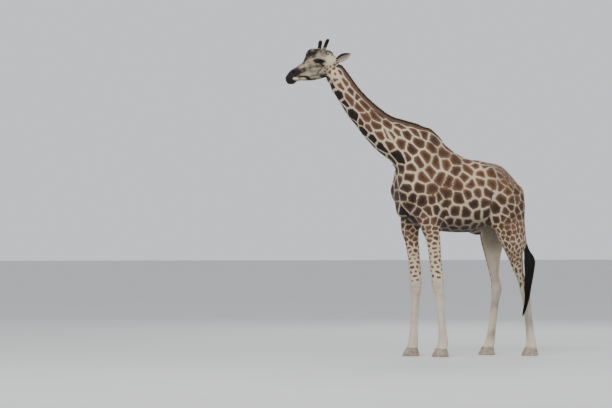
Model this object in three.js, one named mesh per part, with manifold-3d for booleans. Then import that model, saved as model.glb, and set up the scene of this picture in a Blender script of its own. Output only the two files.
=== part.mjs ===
// Giraffe standing still, life size, in one fixed pose: neck reaching forward
// and up, head level, all four feet on the ground.  Millimetres, +Z up, floor
// at z = 0; the animal faces -X and its left side is -Y.
import * as THREE from "three";
import Module from "manifold-3d";

const wasm = await Module();
wasm.setup();

// ---------------------------------------------------------------- main sizes
const GAP = 0.3;               // air left between neighbouring solids
const TRIM = 0.8;              // how far a piece is cut back from what it grows on
const LEG_TOP = 1550;          // level at which the legs leave the trunk
const CORONET = 104;           // top of the hooves
const EYE_RADIUS = 27;
const EYE_SOCKET_PLAY = 0.4;
const EYE = [-1268, 103, 3739];            // right eye, the left one mirrored
const CLEFT = 7;               // gap between the two toes of a foot
const MANE_HEIGHT = 66;
const MANE_HALF_THICKNESS = 21;
const MANE_SINK = 26;          // how deep the mane is rooted before trimming
const TUFT_TOP = 1440;         // where the tail's long hair begins
const CENTRING = 25.88;        // shift along X that puts the origin under the middle

// Axes of the long parts: a starting point, the direction along the part and
// the direction across it, both in the plane of symmetry (x, z).
const axis = (x, z, degrees, flip = 1) => {
  const angle = (degrees * Math.PI) / 180;
  return {
    origin: [x, z],
    along: [Math.cos(angle), Math.sin(angle)],
    across: [-flip * Math.sin(angle), flip * Math.cos(angle)],
  };
};
const TRUNK_AXIS = axis(0, 0, 0);
const NECK_AXIS = axis(-60, 2560, 133.3, -1);
const HEAD_AXIS = axis(-1700, 3500, 22);

// Body sections: station, low edge, high edge, half width, egg (above zero
// when the section is wider on its high side).
const TRUNK = [
  [-236, 2020, 2290, 120, 0],
  [-175, 1880, 2440, 205, 0],
  [-75, 1770, 2600, 250, -0.1],
  [60, 1680, 2790, 272, -0.3],
  [200, 1635, 2880, 286, -0.45],
  [320, 1605, 2822, 306, -0.42],
  [450, 1592, 2712, 332, -0.34],
  [600, 1584, 2606, 352, -0.28],
  [750, 1588, 2543, 356, -0.22],
  [900, 1618, 2523, 338, -0.16],
  [1050, 1690, 2495, 304, -0.1],
  [1200, 1740, 2456, 282, -0.08],
  [1320, 1765, 2350, 250, -0.05],
  [1420, 1810, 2232, 200, 0],
  [1485, 1890, 2110, 135, 0],
];
const NECK = [
  [-160, -205, 420, 225, -0.2],
  [0, -222, 402, 212, -0.2],
  [117, -222, 372, 198, -0.2],
  [200, -236, 333, 186, -0.2],
  [297, -252, 272, 174, -0.18],
  [371, -261, 226, 164, -0.18],
  [468, -263, 162, 152, -0.16],
  [564, -264, 122, 142, -0.16],
  [665, -261, 100, 134, -0.15],
  [776, -250, 78, 126, -0.15],
  [877, -247, 66, 120, -0.14],
  [991, -231, 59, 113, -0.14],
  [1110, -211, 62, 106, -0.12],
  [1234, -186, 74, 100, -0.1],
  [1307, -172, 84, 98, -0.1],
  [1371, -150, 94, 96, -0.1],
  [1440, -135, 104, 92, -0.1],
  [1500, -110, 90, 84, -0.1],
];
const HEAD = [
  [6, -42, 34, 40, 0],
  [40, -63, 58, 56, 0],
  [75, -76, 80, 63, 0],
  [105, -72, 95, 64, -0.04],
  [140, -65, 104, 60, -0.08],
  [180, -71, 109, 58, -0.1],
  [240, -94, 121, 61, -0.08],
  [300, -116, 136, 70, 0],
  [350, -131, 178, 80, 0.04],
  [400, -139, 228, 89, 0.02],
  [450, -147, 250, 95, 0],
  [500, -150, 244, 99, 0],
  [550, -145, 226, 101, 0.02],
  [600, -130, 200, 99, 0.04],
  [660, -100, 166, 90, 0.04],
  [710, -60, 138, 76, 0],
];

// Legs: sections by height (half depth, half width), and for each leg the
// line of its middle by height (x, y).
const FORE_SECTION = [
  [104, 71, 69],
  [178, 68, 64],
  [218, 63, 61],
  [270, 57, 55],
  [345, 53, 49],
  [472, 52, 47],
  [599, 52, 47],
  [752, 56, 52],
  [830, 68, 65],
  [880, 77, 73],
  [942, 82, 77],
  [1000, 80, 76],
  [1108, 81, 73],
  [1236, 82, 75],
  [1363, 87, 82],
  [1490, 98, 92],
  [1617, 122, 106],
  [1750, 142, 114],
  [1900, 150, 110],
];
const HIND_SECTION = [
  [104, 71, 67],
  [177, 64, 60],
  [267, 57, 51],
  [358, 53, 46],
  [589, 52, 44],
  [744, 56, 48],
  [800, 64, 55],
  [848, 71, 60],
  [906, 66, 57],
  [976, 62, 53],
  [1079, 71, 60],
  [1208, 95, 72],
  [1362, 131, 92],
  [1452, 158, 106],
  [1555, 182, 122],
  [1644, 205, 134],
  [1750, 218, 142],
];
const LEG_LINES = {
  foreleg_left: [
    [104, 326, -188],
    [178, 345, -190],
    [345, 336, -194],
    [599, 311, -198],
    [752, 302, -200],
    [880, 275, -201],
    [1000, 266, -203],
    [1236, 235, -208],
    [1490, 204, -216],
    [1617, 163, -221],
    [1900, 140, -224],
  ],
  foreleg_right: [
    [104, 68, 188],
    [178, 78, 190],
    [345, 91, 194],
    [599, 106, 198],
    [752, 117, 200],
    [880, 119, 201],
    [1000, 117, 203],
    [1236, 99, 208],
    [1426, 77, 214],
    [1617, 52, 221],
    [1900, 80, 224],
  ],
  hindleg_left: [
    [104, 1558, -186],
    [177, 1562, -188],
    [267, 1550, -190],
    [461, 1526, -193],
    [680, 1500, -196],
    [800, 1480, -198],
    [906, 1456, -200],
    [1079, 1387, -203],
    [1208, 1354, -205],
    [1452, 1289, -207],
    [1644, 1245, -205],
    [1750, 1231, -200],
  ],
  hindleg_right: [
    [104, 1120, 186],
    [177, 1142, 188],
    [285, 1161, 190],
    [517, 1196, 194],
    [647, 1210, 196],
    [780, 1232, 198],
    [870, 1238, 200],
    [1036, 1211, 203],
    [1205, 1193, 205],
    [1426, 1186, 207],
    [1644, 1195, 205],
    [1750, 1205, 200],
  ],
};

// Muscles and bony points, each side alike: x, y, z, three radii (along, to
// the side, across), the slope of the long radius, and the blend with the body.
const MASSES = [
  ["shoulder_blade", 30, 196, 2420, 340, 78, 140, 58, 90],
  ["upper_arm", 165, 222, 2010, 260, 98, 160, -58, 80],
  ["shoulder_point", -98, 170, 2110, 130, 105, 130, 80, 90],
  ["elbow", 292, 236, 1800, 75, 55, 48, 70, 50],
  ["hip_point", 1015, 225, 2350, 120, 78, 88, -12, 80],
  ["thigh", 1175, 205, 1960, 370, 128, 230, -72, 90],
  ["buttock", 1378, 132, 1880, 320, 112, 118, 90, 80],
  ["stifle", 1045, 232, 1770, 130, 82, 90, 60, 70],
  ["brow", -1262, 84, 3762, 66, 42, 40, 22, 30],
  ["cheek", -1300, 50, 3600, 95, 34, 66, 22, 40],
  ["nostril_wing", -1600, 40, 3612, 36, 22, 30, 30, 22],
  ["ear_root", -1072, 76, 3762, 48, 38, 44, 40, 30],
];
const MIDLINE_MASSES = [
  ["breastbone", -108, 0, 1960, 190, 140, 104, 75, 80],
  ["forehead_knob", -1352, 0, 3850, 66, 62, 48, 20, 40],
  ["chin", -1612, 0, 3484, 42, 36, 20, 12, 24],
  ["sheath", 862, 0, 1604, 90, 46, 50, -12, 50],
  ["tail_root", 1462, 0, 2120, 100, 52, 46, -66, 50],
];

// --------------------------------------------------- functions of the surface
// Smooth curve through the rows of a table, held level beyond its ends.
function rowAt(rows, t) {
  const last = rows.length - 1;
  if (t <= rows[0][0]) {
    return rows[0];
  }
  if (t >= rows[last][0]) {
    return rows[last];
  }
  let i = 0;
  while (rows[i + 1][0] < t) {
    i += 1;
  }
  const a = rows[i];
  const b = rows[i + 1];
  const before = rows[Math.max(i - 1, 0)];
  const after = rows[Math.min(i + 2, last)];
  const span = b[0] - a[0];
  const u = (t - a[0]) / span;
  return a.map((value, k) => {
    const rise = (b[k] - value) / span;
    const left = i > 0 ? (value - before[k]) / (a[0] - before[0]) : rise;
    const right = i + 1 < last ? (after[k] - b[k]) / (after[0] - b[0]) : rise;
    const tangentA = i > 0 ? (left + rise) / 2 : rise;
    const tangentB = i + 1 < last ? (right + rise) / 2 : rise;
    const u2 = u * u;
    const u3 = u2 * u;
    return (2 * u3 - 3 * u2 + 1) * value + (u3 - 2 * u2 + u) * span * tangentA
      + (3 * u2 - 2 * u3) * b[k] + (u3 - u2) * span * tangentB;
  });
}

// Joining and limiting of signed distances with a rounded seam of width k.
function blend(a, b, k) {
  const h = Math.max(k - Math.abs(a - b), 0) / k;
  return Math.min(a, b) - (h * h * k) / 4;
}

function limit(a, b, k) {
  return -blend(-a, -b, k);
}

// Distance, nearly, from an oval section; below zero inside.
function oval(u, v, halfU, halfV, power) {
  const a = Math.abs(u) / halfU;
  const b = Math.abs(v) / halfV;
  const r = Math.pow(Math.pow(a, power) + Math.pow(b, power), 1 / power);
  if (r < 1e-3) {
    return -Math.min(halfU, halfV);
  }
  const slopeU = Math.pow(a / r, power - 1) / halfU;
  const slopeV = Math.pow(b / r, power - 1) / halfV;
  return (r - 1) / Math.hypot(slopeU, slopeV);
}

// A long part: oval sections strung on an axis, with rounded ends.
function longPart(place, rows, power, rounding, p) {
  const x = p[0] - place.origin[0];
  const z = p[2] - place.origin[1];
  const s = x * place.along[0] + z * place.along[1];
  const v = x * place.across[0] + z * place.across[1];
  const [, low, high, half, egg] = rowAt(rows, s);
  const reach = (high - low) / 2;
  const height = v - (low + high) / 2;
  const skew = Math.max(-1.3, Math.min(1.3, height / reach));
  const side = oval(p[1], height, half * (1 + egg * skew), reach, power);
  const ends = Math.max(rows[0][0] - s, s - rows[rows.length - 1][0]);
  return limit(side, ends, rounding);
}

function leg(line, sections, p) {
  const [, x, y] = rowAt(line, p[2]);
  const [, depth, width] = rowAt(sections, p[2]);
  const side = oval(p[1] - y, p[0] - x, width, depth, 2.15);
  return limit(side, p[2] - line[line.length - 1][0], 120);
}

function mass([, x, y, z, along, side, across, slope], p) {
  const angle = (slope * Math.PI) / 180;
  const dx = p[0] - x;
  const dz = p[2] - z;
  const a = dx * Math.cos(angle) + dz * Math.sin(angle);
  const b = p[1] - y;
  const c = dz * Math.cos(angle) - dx * Math.sin(angle);
  const r = Math.hypot(a / along, b / side, c / across);
  const slopeR = Math.hypot(a / along ** 2, b / side ** 2, c / across ** 2);
  return r < 1e-3 ? -Math.min(along, side, across) : (r * (r - 1)) / slopeR;
}

// The whole body under its hair: below zero inside.
function body(p) {
  let value = longPart(TRUNK_AXIS, TRUNK, 2.25, 130, p);
  value = blend(value, longPart(NECK_AXIS, NECK, 2.1, 60, p), 110);
  value = blend(value, longPart(HEAD_AXIS, HEAD, 2.15, 26, p), 36);
  for (const [name, line] of Object.entries(LEG_LINES)) {
    const sections = name.startsWith("fore") ? FORE_SECTION : HIND_SECTION;
    value = blend(value, leg(line, sections, p), 90);
  }
  const mirrored = [p[0], Math.abs(p[1]), p[2]];
  for (const item of MASSES) {
    value = blend(value, mass(item, mirrored), item[8]);
  }
  for (const item of MIDLINE_MASSES) {
    value = blend(value, mass(item, p), item[8]);
  }
  return value;
}

// Distance from a point inside the body to its surface in one direction.
function reachTo(start, direction, farthest) {
  const value = (r) => body(start.map((c, k) => c + r * direction[k]));
  const stride = farthest / 48;
  let near = 0;
  while (near < farthest && value(near + stride) < 0) {
    near += stride;
  }
  let far = near + stride;
  for (let i = 0; i < 16; i += 1) {
    const middle = (near + far) / 2;
    if (value(middle) < 0) {
      near = middle;
    } else {
      far = middle;
    }
  }
  return (near + far) / 2;
}

// ------------------------------------------------------------ making of solids
// Closed skin through rings of equal length, with a flat fan at each end.
function loft(rings) {
  const count = rings[0].length;
  const points = rings.flat();
  const faces = [];
  for (let i = 0; i + 1 < rings.length; i += 1) {
    for (let j = 0; j < count; j += 1) {
      const a = i * count + j;
      const b = i * count + ((j + 1) % count);
      faces.push([a, b, b + count], [a, b + count, a + count]);
    }
  }
  const caps = [[0, 1], [(rings.length - 1) * count, -1]];
  for (const [first, turn] of caps) {
    const middle = [0, 0, 0];
    for (let j = 0; j < count; j += 1) {
      points[first + j].forEach((c, k) => {
        middle[k] += c / count;
      });
    }
    points.push(middle);
    for (let j = 0; j < count; j += 1) {
      const a = first + j;
      const b = first + ((j + 1) % count);
      const ends = turn > 0 ? [b, a] : [a, b];
      faces.push([points.length - 1, ...ends]);
    }
  }
  return facing({ points, faces });
}

// Turns every face outward.
function facing({ points, faces }) {
  let volume = 0;
  for (const [a, b, c] of faces) {
    const [p, q, r] = [points[a], points[b], points[c]];
    volume += p[0] * (q[1] * r[2] - q[2] * r[1])
      + p[1] * (q[2] * r[0] - q[0] * r[2])
      + p[2] * (q[0] * r[1] - q[1] * r[0]);
  }
  const turned = volume < 0 ? faces.map(([a, b, c]) => [a, c, b]) : faces;
  return { points, faces: turned };
}

// A piece of the body read from its surface in a fan of planes.  Each plane
// has a middle point, a slope of its upward direction, and the grown skin
// used for trimming neighbours lies `grow` outside.
function sections(planes, count, farthest, grow = 0) {
  return loft(planes.map(({ x, y, z, slope }) => {
    const angle = (slope * Math.PI) / 180;
    const up = [Math.cos(angle), 0, Math.sin(angle)];
    const ring = [];
    for (let j = 0; j < count; j += 1) {
      const turn = (2 * Math.PI * j) / count;
      const c = Math.cos(turn);
      const s = Math.sin(turn);
      const direction = [up[0] * c, s, up[2] * c];
      const r = reachTo([x, y, z], direction, farthest) + grow;
      ring.push([x + r * direction[0], y + r * direction[1], z + r * direction[2]]);
    }
    return ring;
  }));
}

// Even-sized quads over a region of the body (one vertex per cell that the
// surface crosses), then drawn onto the true surface.
function netted(low, high, cell) {
  const size = low.map((value, k) => Math.ceil((high[k] - value) / cell[k]) + 1);
  const at = (i, j, k) => (k * size[1] + j) * size[0] + i;
  const corner = (i, j, k) => [low[0] + i * cell[0], low[1] + j * cell[1], low[2] + k * cell[2]];
  const values = new Float64Array(size[0] * size[1] * size[2]).fill(1e3);
  for (let k = 1; k < size[2] - 1; k += 1) {
    for (let j = 1; j < size[1] - 1; j += 1) {
      for (let i = 1; i < size[0] - 1; i += 1) {
        values[at(i, j, k)] = body(corner(i, j, k));
      }
    }
  }
  const points = [];
  const vertex = new Map();
  const faces = [];
  const steps = [[1, 0, 0], [0, 1, 0], [0, 0, 1]];
  for (let k = 0; k < size[2] - 1; k += 1) {
    for (let j = 0; j < size[1] - 1; j += 1) {
      for (let i = 0; i < size[0] - 1; i += 1) {
        const sum = [0, 0, 0];
        let crossings = 0;
        for (let e = 0; e < 12; e += 1) {
          const way = Math.floor(e / 4);
          const start = [i, j, k];
          start[(way + 1) % 3] += e & 1;
          start[(way + 2) % 3] += (e >> 1) & 1;
          const end = start.map((n, m) => n + steps[way][m]);
          const a = values[at(...start)];
          const b = values[at(...end)];
          if ((a < 0) !== (b < 0)) {
            const t = a / (a - b);
            const from = corner(...start);
            from[way] += t * cell[way];
            from.forEach((c, m) => {
              sum[m] += c;
            });
            crossings += 1;
          }
        }
        if (crossings > 0) {
          vertex.set(at(i, j, k), points.length);
          points.push(sum.map((c) => c / crossings));
        }
      }
    }
  }
  for (let k = 0; k < size[2] - 1; k += 1) {
    for (let j = 0; j < size[1] - 1; j += 1) {
      for (let i = 0; i < size[0] - 1; i += 1) {
        for (let way = 0; way < 3; way += 1) {
          const a = values[at(i, j, k)] < 0;
          const b = values[at(i + steps[way][0], j + steps[way][1], k + steps[way][2])] < 0;
          if (a !== b) {
            const u = steps[(way + 1) % 3];
            const v = steps[(way + 2) % 3];
            const around = [[0, 0], [1, 0], [1, 1], [0, 1]].map(([m, n]) => vertex.get(
              at(i - m * u[0] - n * v[0], j - m * u[1] - n * v[1], k - m * u[2] - n * v[2]),
            ));
            const quad = a ? around : around.reverse();
            faces.push([quad[0], quad[1], quad[2]], [quad[0], quad[2], quad[3]]);
          }
        }
      }
    }
  }
  const settled = points.map((p) => {
    const inner = p.every((c, m) => c > low[m] + cell[m] && c < high[m] - cell[m]);
    return inner ? drawnOn(p, 0) : p;
  });
  return facing({ points: settled, faces });
}

// Moves a point along the slope of the surface function until it reads `level`.
function drawnOn(p, level) {
  let point = p;
  for (let step = 0; step < 3; step += 1) {
    const value = body(point) - level;
    const slope = gradient(point);
    const square = slope[0] ** 2 + slope[1] ** 2 + slope[2] ** 2;
    const travel = Math.max(-25, Math.min(25, value / square));
    point = point.map((c, k) => c - travel * slope[k]);
  }
  return point;
}

function gradient(p) {
  return [0, 1, 2].map((k) => {
    const ahead = p.map((c, m) => (m === k ? c + 2 : c));
    const behind = p.map((c, m) => (m === k ? c - 2 : c));
    return (body(ahead) - body(behind)) / 4;
  });
}

function solid({ points, faces }) {
  return new wasm.Manifold(new wasm.Mesh({
    numProp: 3,
    vertProperties: new Float32Array(points.flat()),
    triVerts: new Uint32Array(faces.flat()),
  }));
}

// Slab that is everything on one side of a plane through (x, z), as far as
// the animal reaches; `slope` is the direction in which the slab grows.
function beyond(x, z, slope) {
  const reach = 9000;
  const box = new THREE.BoxGeometry(reach, reach, reach);
  box.translate(reach / 2, 0, 0);
  box.rotateY((-slope * Math.PI) / 180);
  box.translate(x, 0, z);
  const points = [];
  const index = new Map();
  const faces = [];
  const position = box.getAttribute("position");
  const corners = Array.from(box.index.array, (i) => {
    const point = [position.getX(i), position.getY(i), position.getZ(i)];
    const key = point.map((c) => Math.round(c)).join();
    if (!index.has(key)) {
      index.set(key, points.length);
      points.push(point);
    }
    return index.get(key);
  });
  for (let i = 0; i < corners.length; i += 3) {
    faces.push(corners.slice(i, i + 3));
  }
  return solid({ points, faces });
}

// Same solid, a little larger all round, for trimming what sits against it.
function grown({ points, faces }, by) {
  const normals = points.map(() => new THREE.Vector3());
  for (const face of faces) {
    const [a, b, c] = face.map((i) => new THREE.Vector3(...points[i]));
    const normal = b.clone().sub(a).cross(c.clone().sub(a));
    face.forEach((i) => normals[i].add(normal));
  }
  const moved = points.map((p, i) => {
    const n = normals[i].normalize();
    return [p[0] + by * n.x, p[1] + by * n.y, p[2] + by * n.z];
  });
  return { points: moved, faces };
}

function largest(shape) {
  const pieces = shape.decompose();
  pieces.sort((a, b) => b.volume() - a.volume());
  return pieces[0];
}

const finishes = {
  coat: { color: 0x9a6b45, roughness: 0.85 },
  cream: { color: 0xcbb795, roughness: 0.85 },
  black_hair: { color: 0x17120f, roughness: 0.7 },
  mane_hair: { color: 0x6b4529, roughness: 0.85 },
  eye: { color: 0x120c08, roughness: 0.08 },
  hoof: { color: 0x4a4038, roughness: 0.6 },
};
const group = new THREE.Group();

// Draws together corners that a cut left closer than a tenth of a millimetre.
function tidied({ vertProperties, triVerts }) {
  const points = [];
  const target = [];
  for (let i = 0; i < vertProperties.length; i += 3) {
    const p = vertProperties.slice(i, i + 3);
    let same = points.findIndex((q) => Math.hypot(p[0] - q[0], p[1] - q[1], p[2] - q[2]) < 0.1);
    if (same < 0) {
      same = points.length;
      points.push(Array.from(p));
    }
    target.push(same);
  }
  const index = [];
  for (let i = 0; i < triVerts.length; i += 3) {
    const [a, b, c] = [target[triVerts[i]], target[triVerts[i + 1]], target[triVerts[i + 2]]];
    if (a !== b && b !== c && c !== a) {
      index.push(a, b, c);
    }
  }
  return { points, index };
}

function addPiece(name, shape, finish) {
  const { points, index } = tidied(shape.getMesh());
  const geometry = new THREE.BufferGeometry();
  const placed = points.flatMap(([x, y, z]) => [x + CENTRING, y, z]);
  const position = new THREE.BufferAttribute(new Float32Array(placed), 3);
  geometry.setAttribute("position", position);
  geometry.setIndex(new THREE.BufferAttribute(new Uint32Array(index), 1));
  geometry.computeVertexNormals();
  const look = { ...finishes[finish], metalness: 0 };
  const piece = new THREE.Mesh(geometry, new THREE.MeshStandardMaterial(look));
  piece.name = name;
  group.add(piece);
}

// Point of the plane of symmetry given along and across an axis.
function onAxis(place, s, v) {
  return [
    place.origin[0] + s * place.along[0] + v * place.across[0],
    place.origin[1] + s * place.along[1] + v * place.across[1],
  ];
}

const mix = (a, b, t) => a + (b - a) * t;

// ------------------------------------------------------------------- the head
// Planes square to the head as far as the eyes, then fanning round the throat
// to the plane in which head and neck meet.
const NECK_CUT_SLOPE = 53;
const FAN_PIVOT = [-1212, 3440];
const headPlanes = [];
for (const s of [
  8, 14, 28, 50, 72, 94, 116, 142, 175, 210, 245, 280, 308, 334, 360, 384, 406,
]) {
  const [, low, high] = rowAt(HEAD, s);
  const [x, z] = onAxis(HEAD_AXIS, s, (low + high) / 2);
  headPlanes.push({ x, y: 0, z, slope: 112 });
}
const fanSteps = 10;
for (let i = 0; i <= fanSteps; i += 1) {
  const slope = mix(112, NECK_CUT_SLOPE, i / fanSteps);
  const angle = (slope * Math.PI) / 180;
  const reach = mix(250, 232, i / fanSteps);
  const x = FAN_PIVOT[0] + reach * Math.cos(angle);
  const z = FAN_PIVOT[1] + reach * Math.sin(angle);
  headPlanes.push({ x, y: 0, z, slope });
}
const headSkin = sections(headPlanes, 26, 420);
const eyeball = (side, radius) => {
  const ball = new THREE.SphereGeometry(radius, 11, 7);
  ball.rotateX(Math.PI / 2);
  const points = [];
  const faces = [];
  const index = new Map();
  const position = ball.getAttribute("position");
  const corners = Array.from(ball.index.array, (i) => {
    const point = [position.getX(i), position.getY(i), position.getZ(i)];
    const key = point.map((c) => Math.round(c * 100)).join();
    if (!index.has(key)) {
      index.set(key, points.length);
      points.push([EYE[0] + point[0], side * EYE[1] + point[1], EYE[2] + point[2]]);
    }
    return index.get(key);
  });
  for (let i = 0; i < corners.length; i += 3) {
    faces.push(corners.slice(i, i + 3));
  }
  return solid({ points, faces });
};
let head = solid(headSkin);
for (const side of [-1, 1]) {
  head = head.subtract(eyeball(side, EYE_RADIUS + EYE_SOCKET_PLAY));
}
addPiece("head", largest(head), "coat");
addPiece("eye_left", eyeball(-1, EYE_RADIUS), "eye");
addPiece("eye_right", eyeball(1, EYE_RADIUS), "eye");

// Horn-like ossicones: skin-covered bone columns with blunt hairy knobs.
const headBlock = solid(grown(headSkin, TRIM));
const OSSICONE_RADII = [
  [0, 38], [0.25, 31], [0.48, 23.5], [0.68, 20.5], [0.83, 22], [0.92, 20.5], [0.98, 14], [1, 7],
];
const OSSICONES = {
  ossicone_left: { base: [-1240, -64, 3822], tip: [-1168, -104, 4026] },
  ossicone_right: { base: [-1243, 66, 3822], tip: [-1198, 110, 4024] },
};
for (const [name, { base, tip }] of Object.entries(OSSICONES)) {
  const rings = OSSICONE_RADII.map(([t, r]) => {
    const middle = base.map((c, k) => mix(c, tip[k], t));
    const ring = [];
    for (let j = 0; j < 10; j += 1) {
      const turn = (2 * Math.PI * j) / 10;
      const out = r * Math.cos(turn);
      ring.push([middle[0] + out, middle[1] + r * Math.sin(turn), middle[2] - 0.2 * out]);
    }
    return ring;
  });
  addPiece(name, largest(solid(loft(rings)).subtract(headBlock)), "coat");
}

// Leaf-shaped ears, hollow toward the front: station, half width, thickness.
const EAR_OUTLINE = [
  [0, 24, 16], [0.14, 31, 12], [0.3, 46, 9], [0.46, 54, 7.5], [0.62, 51, 6.5],
  [0.78, 37, 5.5], [0.9, 21, 4.5], [1, 4, 3],
];
const EARS = {
  ear_left: { root: [-1080, -82, 3746], tip: [-894, -194, 3846], open: [-0.3, -0.85, -0.35] },
  ear_right: { root: [-1080, 82, 3746], tip: [-902, 204, 3806], open: [-0.35, 0.8, -0.4] },
};
for (const [name, { root, tip, open }] of Object.entries(EARS)) {
  const start = new THREE.Vector3(...root);
  const along = new THREE.Vector3(...tip).sub(start);
  const toward = along.clone().normalize();
  const front = new THREE.Vector3(...open);
  front.addScaledVector(toward, -front.dot(toward)).normalize();
  const across = toward.clone().cross(front);
  const rings = EAR_OUTLINE.map(([t, half, thick]) => {
    const ring = [];
    for (let j = 0; j < 14; j += 1) {
      const turn = (2 * Math.PI * j) / 14;
      const u = Math.cos(turn);
      const cup = half * 0.42 * (1 - u * u) * Math.min(1, 3 * t);
      const p = start.clone().addScaledVector(along, t);
      p.addScaledVector(across, half * u);
      p.addScaledVector(front, thick * Math.sin(turn) - cup);
      ring.push([p.x, p.y, p.z]);
    }
    return ring;
  });
  addPiece(name, largest(solid(loft(rings)).subtract(headBlock)), "coat");
}

// ------------------------------------------------------------------- the neck
// From the plane behind the head to a plane in front of the withers.
const NECK_BASE = 130;
const neckPlanes = [];
const headEnd = headPlanes[headPlanes.length - 1];
const nape = [Math.sin((NECK_CUT_SLOPE * Math.PI) / 180), -Math.cos((NECK_CUT_SLOPE * Math.PI) / 180)];
neckPlanes.push({
  x: headEnd.x + GAP * nape[0], y: 0, z: headEnd.z + GAP * nape[1], slope: NECK_CUT_SLOPE,
});
const neckRings = 15;
for (let i = 1; i <= neckRings; i += 1) {
  const t = i / neckRings;
  const s = mix(1350, NECK_BASE, t) ;
  const [, low, high] = rowAt(NECK, s);
  const [x, z] = onAxis(NECK_AXIS, s, (low + high) / 2);
  const slope = mix(NECK_CUT_SLOPE, 43.3, Math.min(1, 2.5 * t));
  neckPlanes.push({ x, y: 0, z, slope });
}
const neckSkin = sections(neckPlanes, 22, 700);
addPiece("neck", solid(neckSkin), "coat");

// ------------------------------------------------------------------ the trunk
const trunkSkin = netted([-420, -466, 1385], [1640, 466, 3120], [86, 84.7, 84]);
const neckFoot = onAxis(NECK_AXIS, NECK_BASE - GAP, 0);
const trunkSolid = solid(trunkSkin)
  .intersect(beyond(neckFoot[0], neckFoot[1], -46.7))
  .intersect(beyond(0, LEG_TOP + GAP, 90));
addPiece("trunk", largest(trunkSolid), "coat");

// ------------------------------------------------------------------- the legs
const LEG_RINGS = {
  fore: [
    CORONET + GAP, 135, 175, 215, 260, 320, 450, 620, 730, 785, 830, 880, 945, 1010,
    1110, 1230, 1360, 1470, LEG_TOP,
  ],
  hind: [
    CORONET + GAP, 135, 175, 220, 280, 380, 560, 700, 765, 810, 850, 900, 970, 1060,
    1160, 1270, 1380, 1470, LEG_TOP,
  ],
};
for (const [name, line] of Object.entries(LEG_LINES)) {
  const fore = name.startsWith("fore");
  const planes = (fore ? LEG_RINGS.fore : LEG_RINGS.hind).map((z) => {
    const [, x, y] = rowAt(line, z);
    return { x, y, z, slope: 0 };
  });
  addPiece(name, solid(sections(planes, fore ? 14 : 15, 420)), "cream");
}

// Cloven hooves: two toes to a foot, each flat below, with a sloping front
// wall.  Station: height, toe end, heel end, outer half width of the foot.
const HOOF_LEVELS = [
  [0, -118, 92, 80], [14, -116, 93, 80], [60, -92, 84, 75], [CORONET, -68, 69, 66],
];
const FEET = {
  foreleg_left: [322, -188],
  foreleg_right: [62, 188],
  hindleg_left: [1556, -186],
  hindleg_right: [1106, 186],
};
for (const [name, [x, y]] of Object.entries(FEET)) {
  for (const side of [-1, 1]) {
    const rings = HOOF_LEVELS.map(([z, toe, heel, half]) => {
      const middle = (toe + heel) / 2;
      const reach = (heel - toe) / 2;
      const ring = [];
      for (let j = 0; j < 9; j += 1) {
        const turn = (Math.PI * j) / 8;
        const u = Math.sign(Math.cos(turn)) * Math.pow(Math.abs(Math.cos(turn)), 0.8);
        const v = Math.pow(Math.sin(turn), 0.62);
        const splay = u < 0 ? 6 * u * u : 0;
        ring.push([x + middle + reach * u, y + side * (CLEFT / 2 + splay + (half - CLEFT / 2 - splay) * v), z]);
      }
      return ring;
    });
    const place = side < 0 ? "a" : "b";
    addPiece(`hoof_${name.slice(0, 4)}_${name.split("_")[1]}_${place}`, solid(loft(rings)), "hoof");
  }
}

// ------------------------------------------------------- tail, tuft and mane
const trunkBlock = solid(grown(trunkSkin, TRIM));
// The tail swings out to the left, so the tuft hangs beside the left hock:
// height, x, y, half depth, half width.
const TAIL = [
  [2205, 1425, 0, 44, 40], [2170, 1473, 0, 42, 37], [2120, 1505, -2, 36, 32],
  [2050, 1519, -8, 30, 27], [1950, 1521, -22, 25, 23], [1830, 1515, -46, 21, 20],
  [1710, 1503, -88, 18, 18], [1600, 1494, -132, 18, 17], [1500, 1486, -176, 20, 20],
  [TUFT_TOP + GAP, 1483, -200, 24, 24],
];
const TUFT = [
  [TUFT_TOP, 1483, -200, 24, 24], [1350, 1488, -229, 36, 33], [1298, 1503, -245, 55, 43],
  [1246, 1511, -259, 68, 50], [1208, 1511, -268, 72, 52], [1156, 1504, -280, 66, 52],
  [1041, 1490, -300, 54, 48], [912, 1469, -309, 45, 43], [848, 1462, -309, 41, 39],
  [784, 1461, -307, 33, 33], [719, 1456, -301, 25, 26], [600, 1430, -288, 20, 20],
  [539, 1415, -283, 14, 14], [501, 1406, -280, 5, 5],
];
const hanging = (rows) => loft(rows.map(([z, x, y, depth, width]) => {
  const ring = [];
  for (let j = 0; j < 10; j += 1) {
    const turn = (2 * Math.PI * j) / 10;
    ring.push([x + depth * Math.cos(turn), y + width * Math.sin(turn), z]);
  }
  return ring;
}));
addPiece("tail", largest(solid(hanging(TAIL)).subtract(trunkBlock)), "coat");
addPiece("tail_tuft", solid(hanging(TUFT)), "black_hair");

// Upright mane along the crest of the neck, as far as the withers.
const neckBlock = solid(grown(neckSkin, TRIM));
const maneRings = [];
const MANE_STEPS = 24;
for (let i = 0; i <= MANE_STEPS; i += 1) {
  const t = i / MANE_STEPS;
  const s = mix(1452, -330, t);
  const [, low, high] = rowAt(NECK, s);
  const slope = (mix(60, 58, t) * Math.PI) / 180;
  const [x, z] = onAxis(NECK_AXIS, s, mix(low, high, 0.5));
  const up = [Math.cos(slope), 0, Math.sin(slope)];
  const crest = reachTo([x, 0, z], up, 700);
  const rise = MANE_HEIGHT * Math.min(1, 0.6 + 4 * t, 0.12 + 3.4 * (1 - t));
  const profile = [[-MANE_SINK, 1], [rise * 0.6, 0.78], [rise, 0.25]];
  const right = profile.map(([h, w]) => [h, w * MANE_HALF_THICKNESS]);
  const left = profile.map(([h, w]) => [h, -w * MANE_HALF_THICKNESS]).reverse();
  maneRings.push([...right, ...left].map(([h, y]) => {
    const r = crest + h;
    return [x + r * up[0], y, z + r * up[2]];
  }));
}
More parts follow.
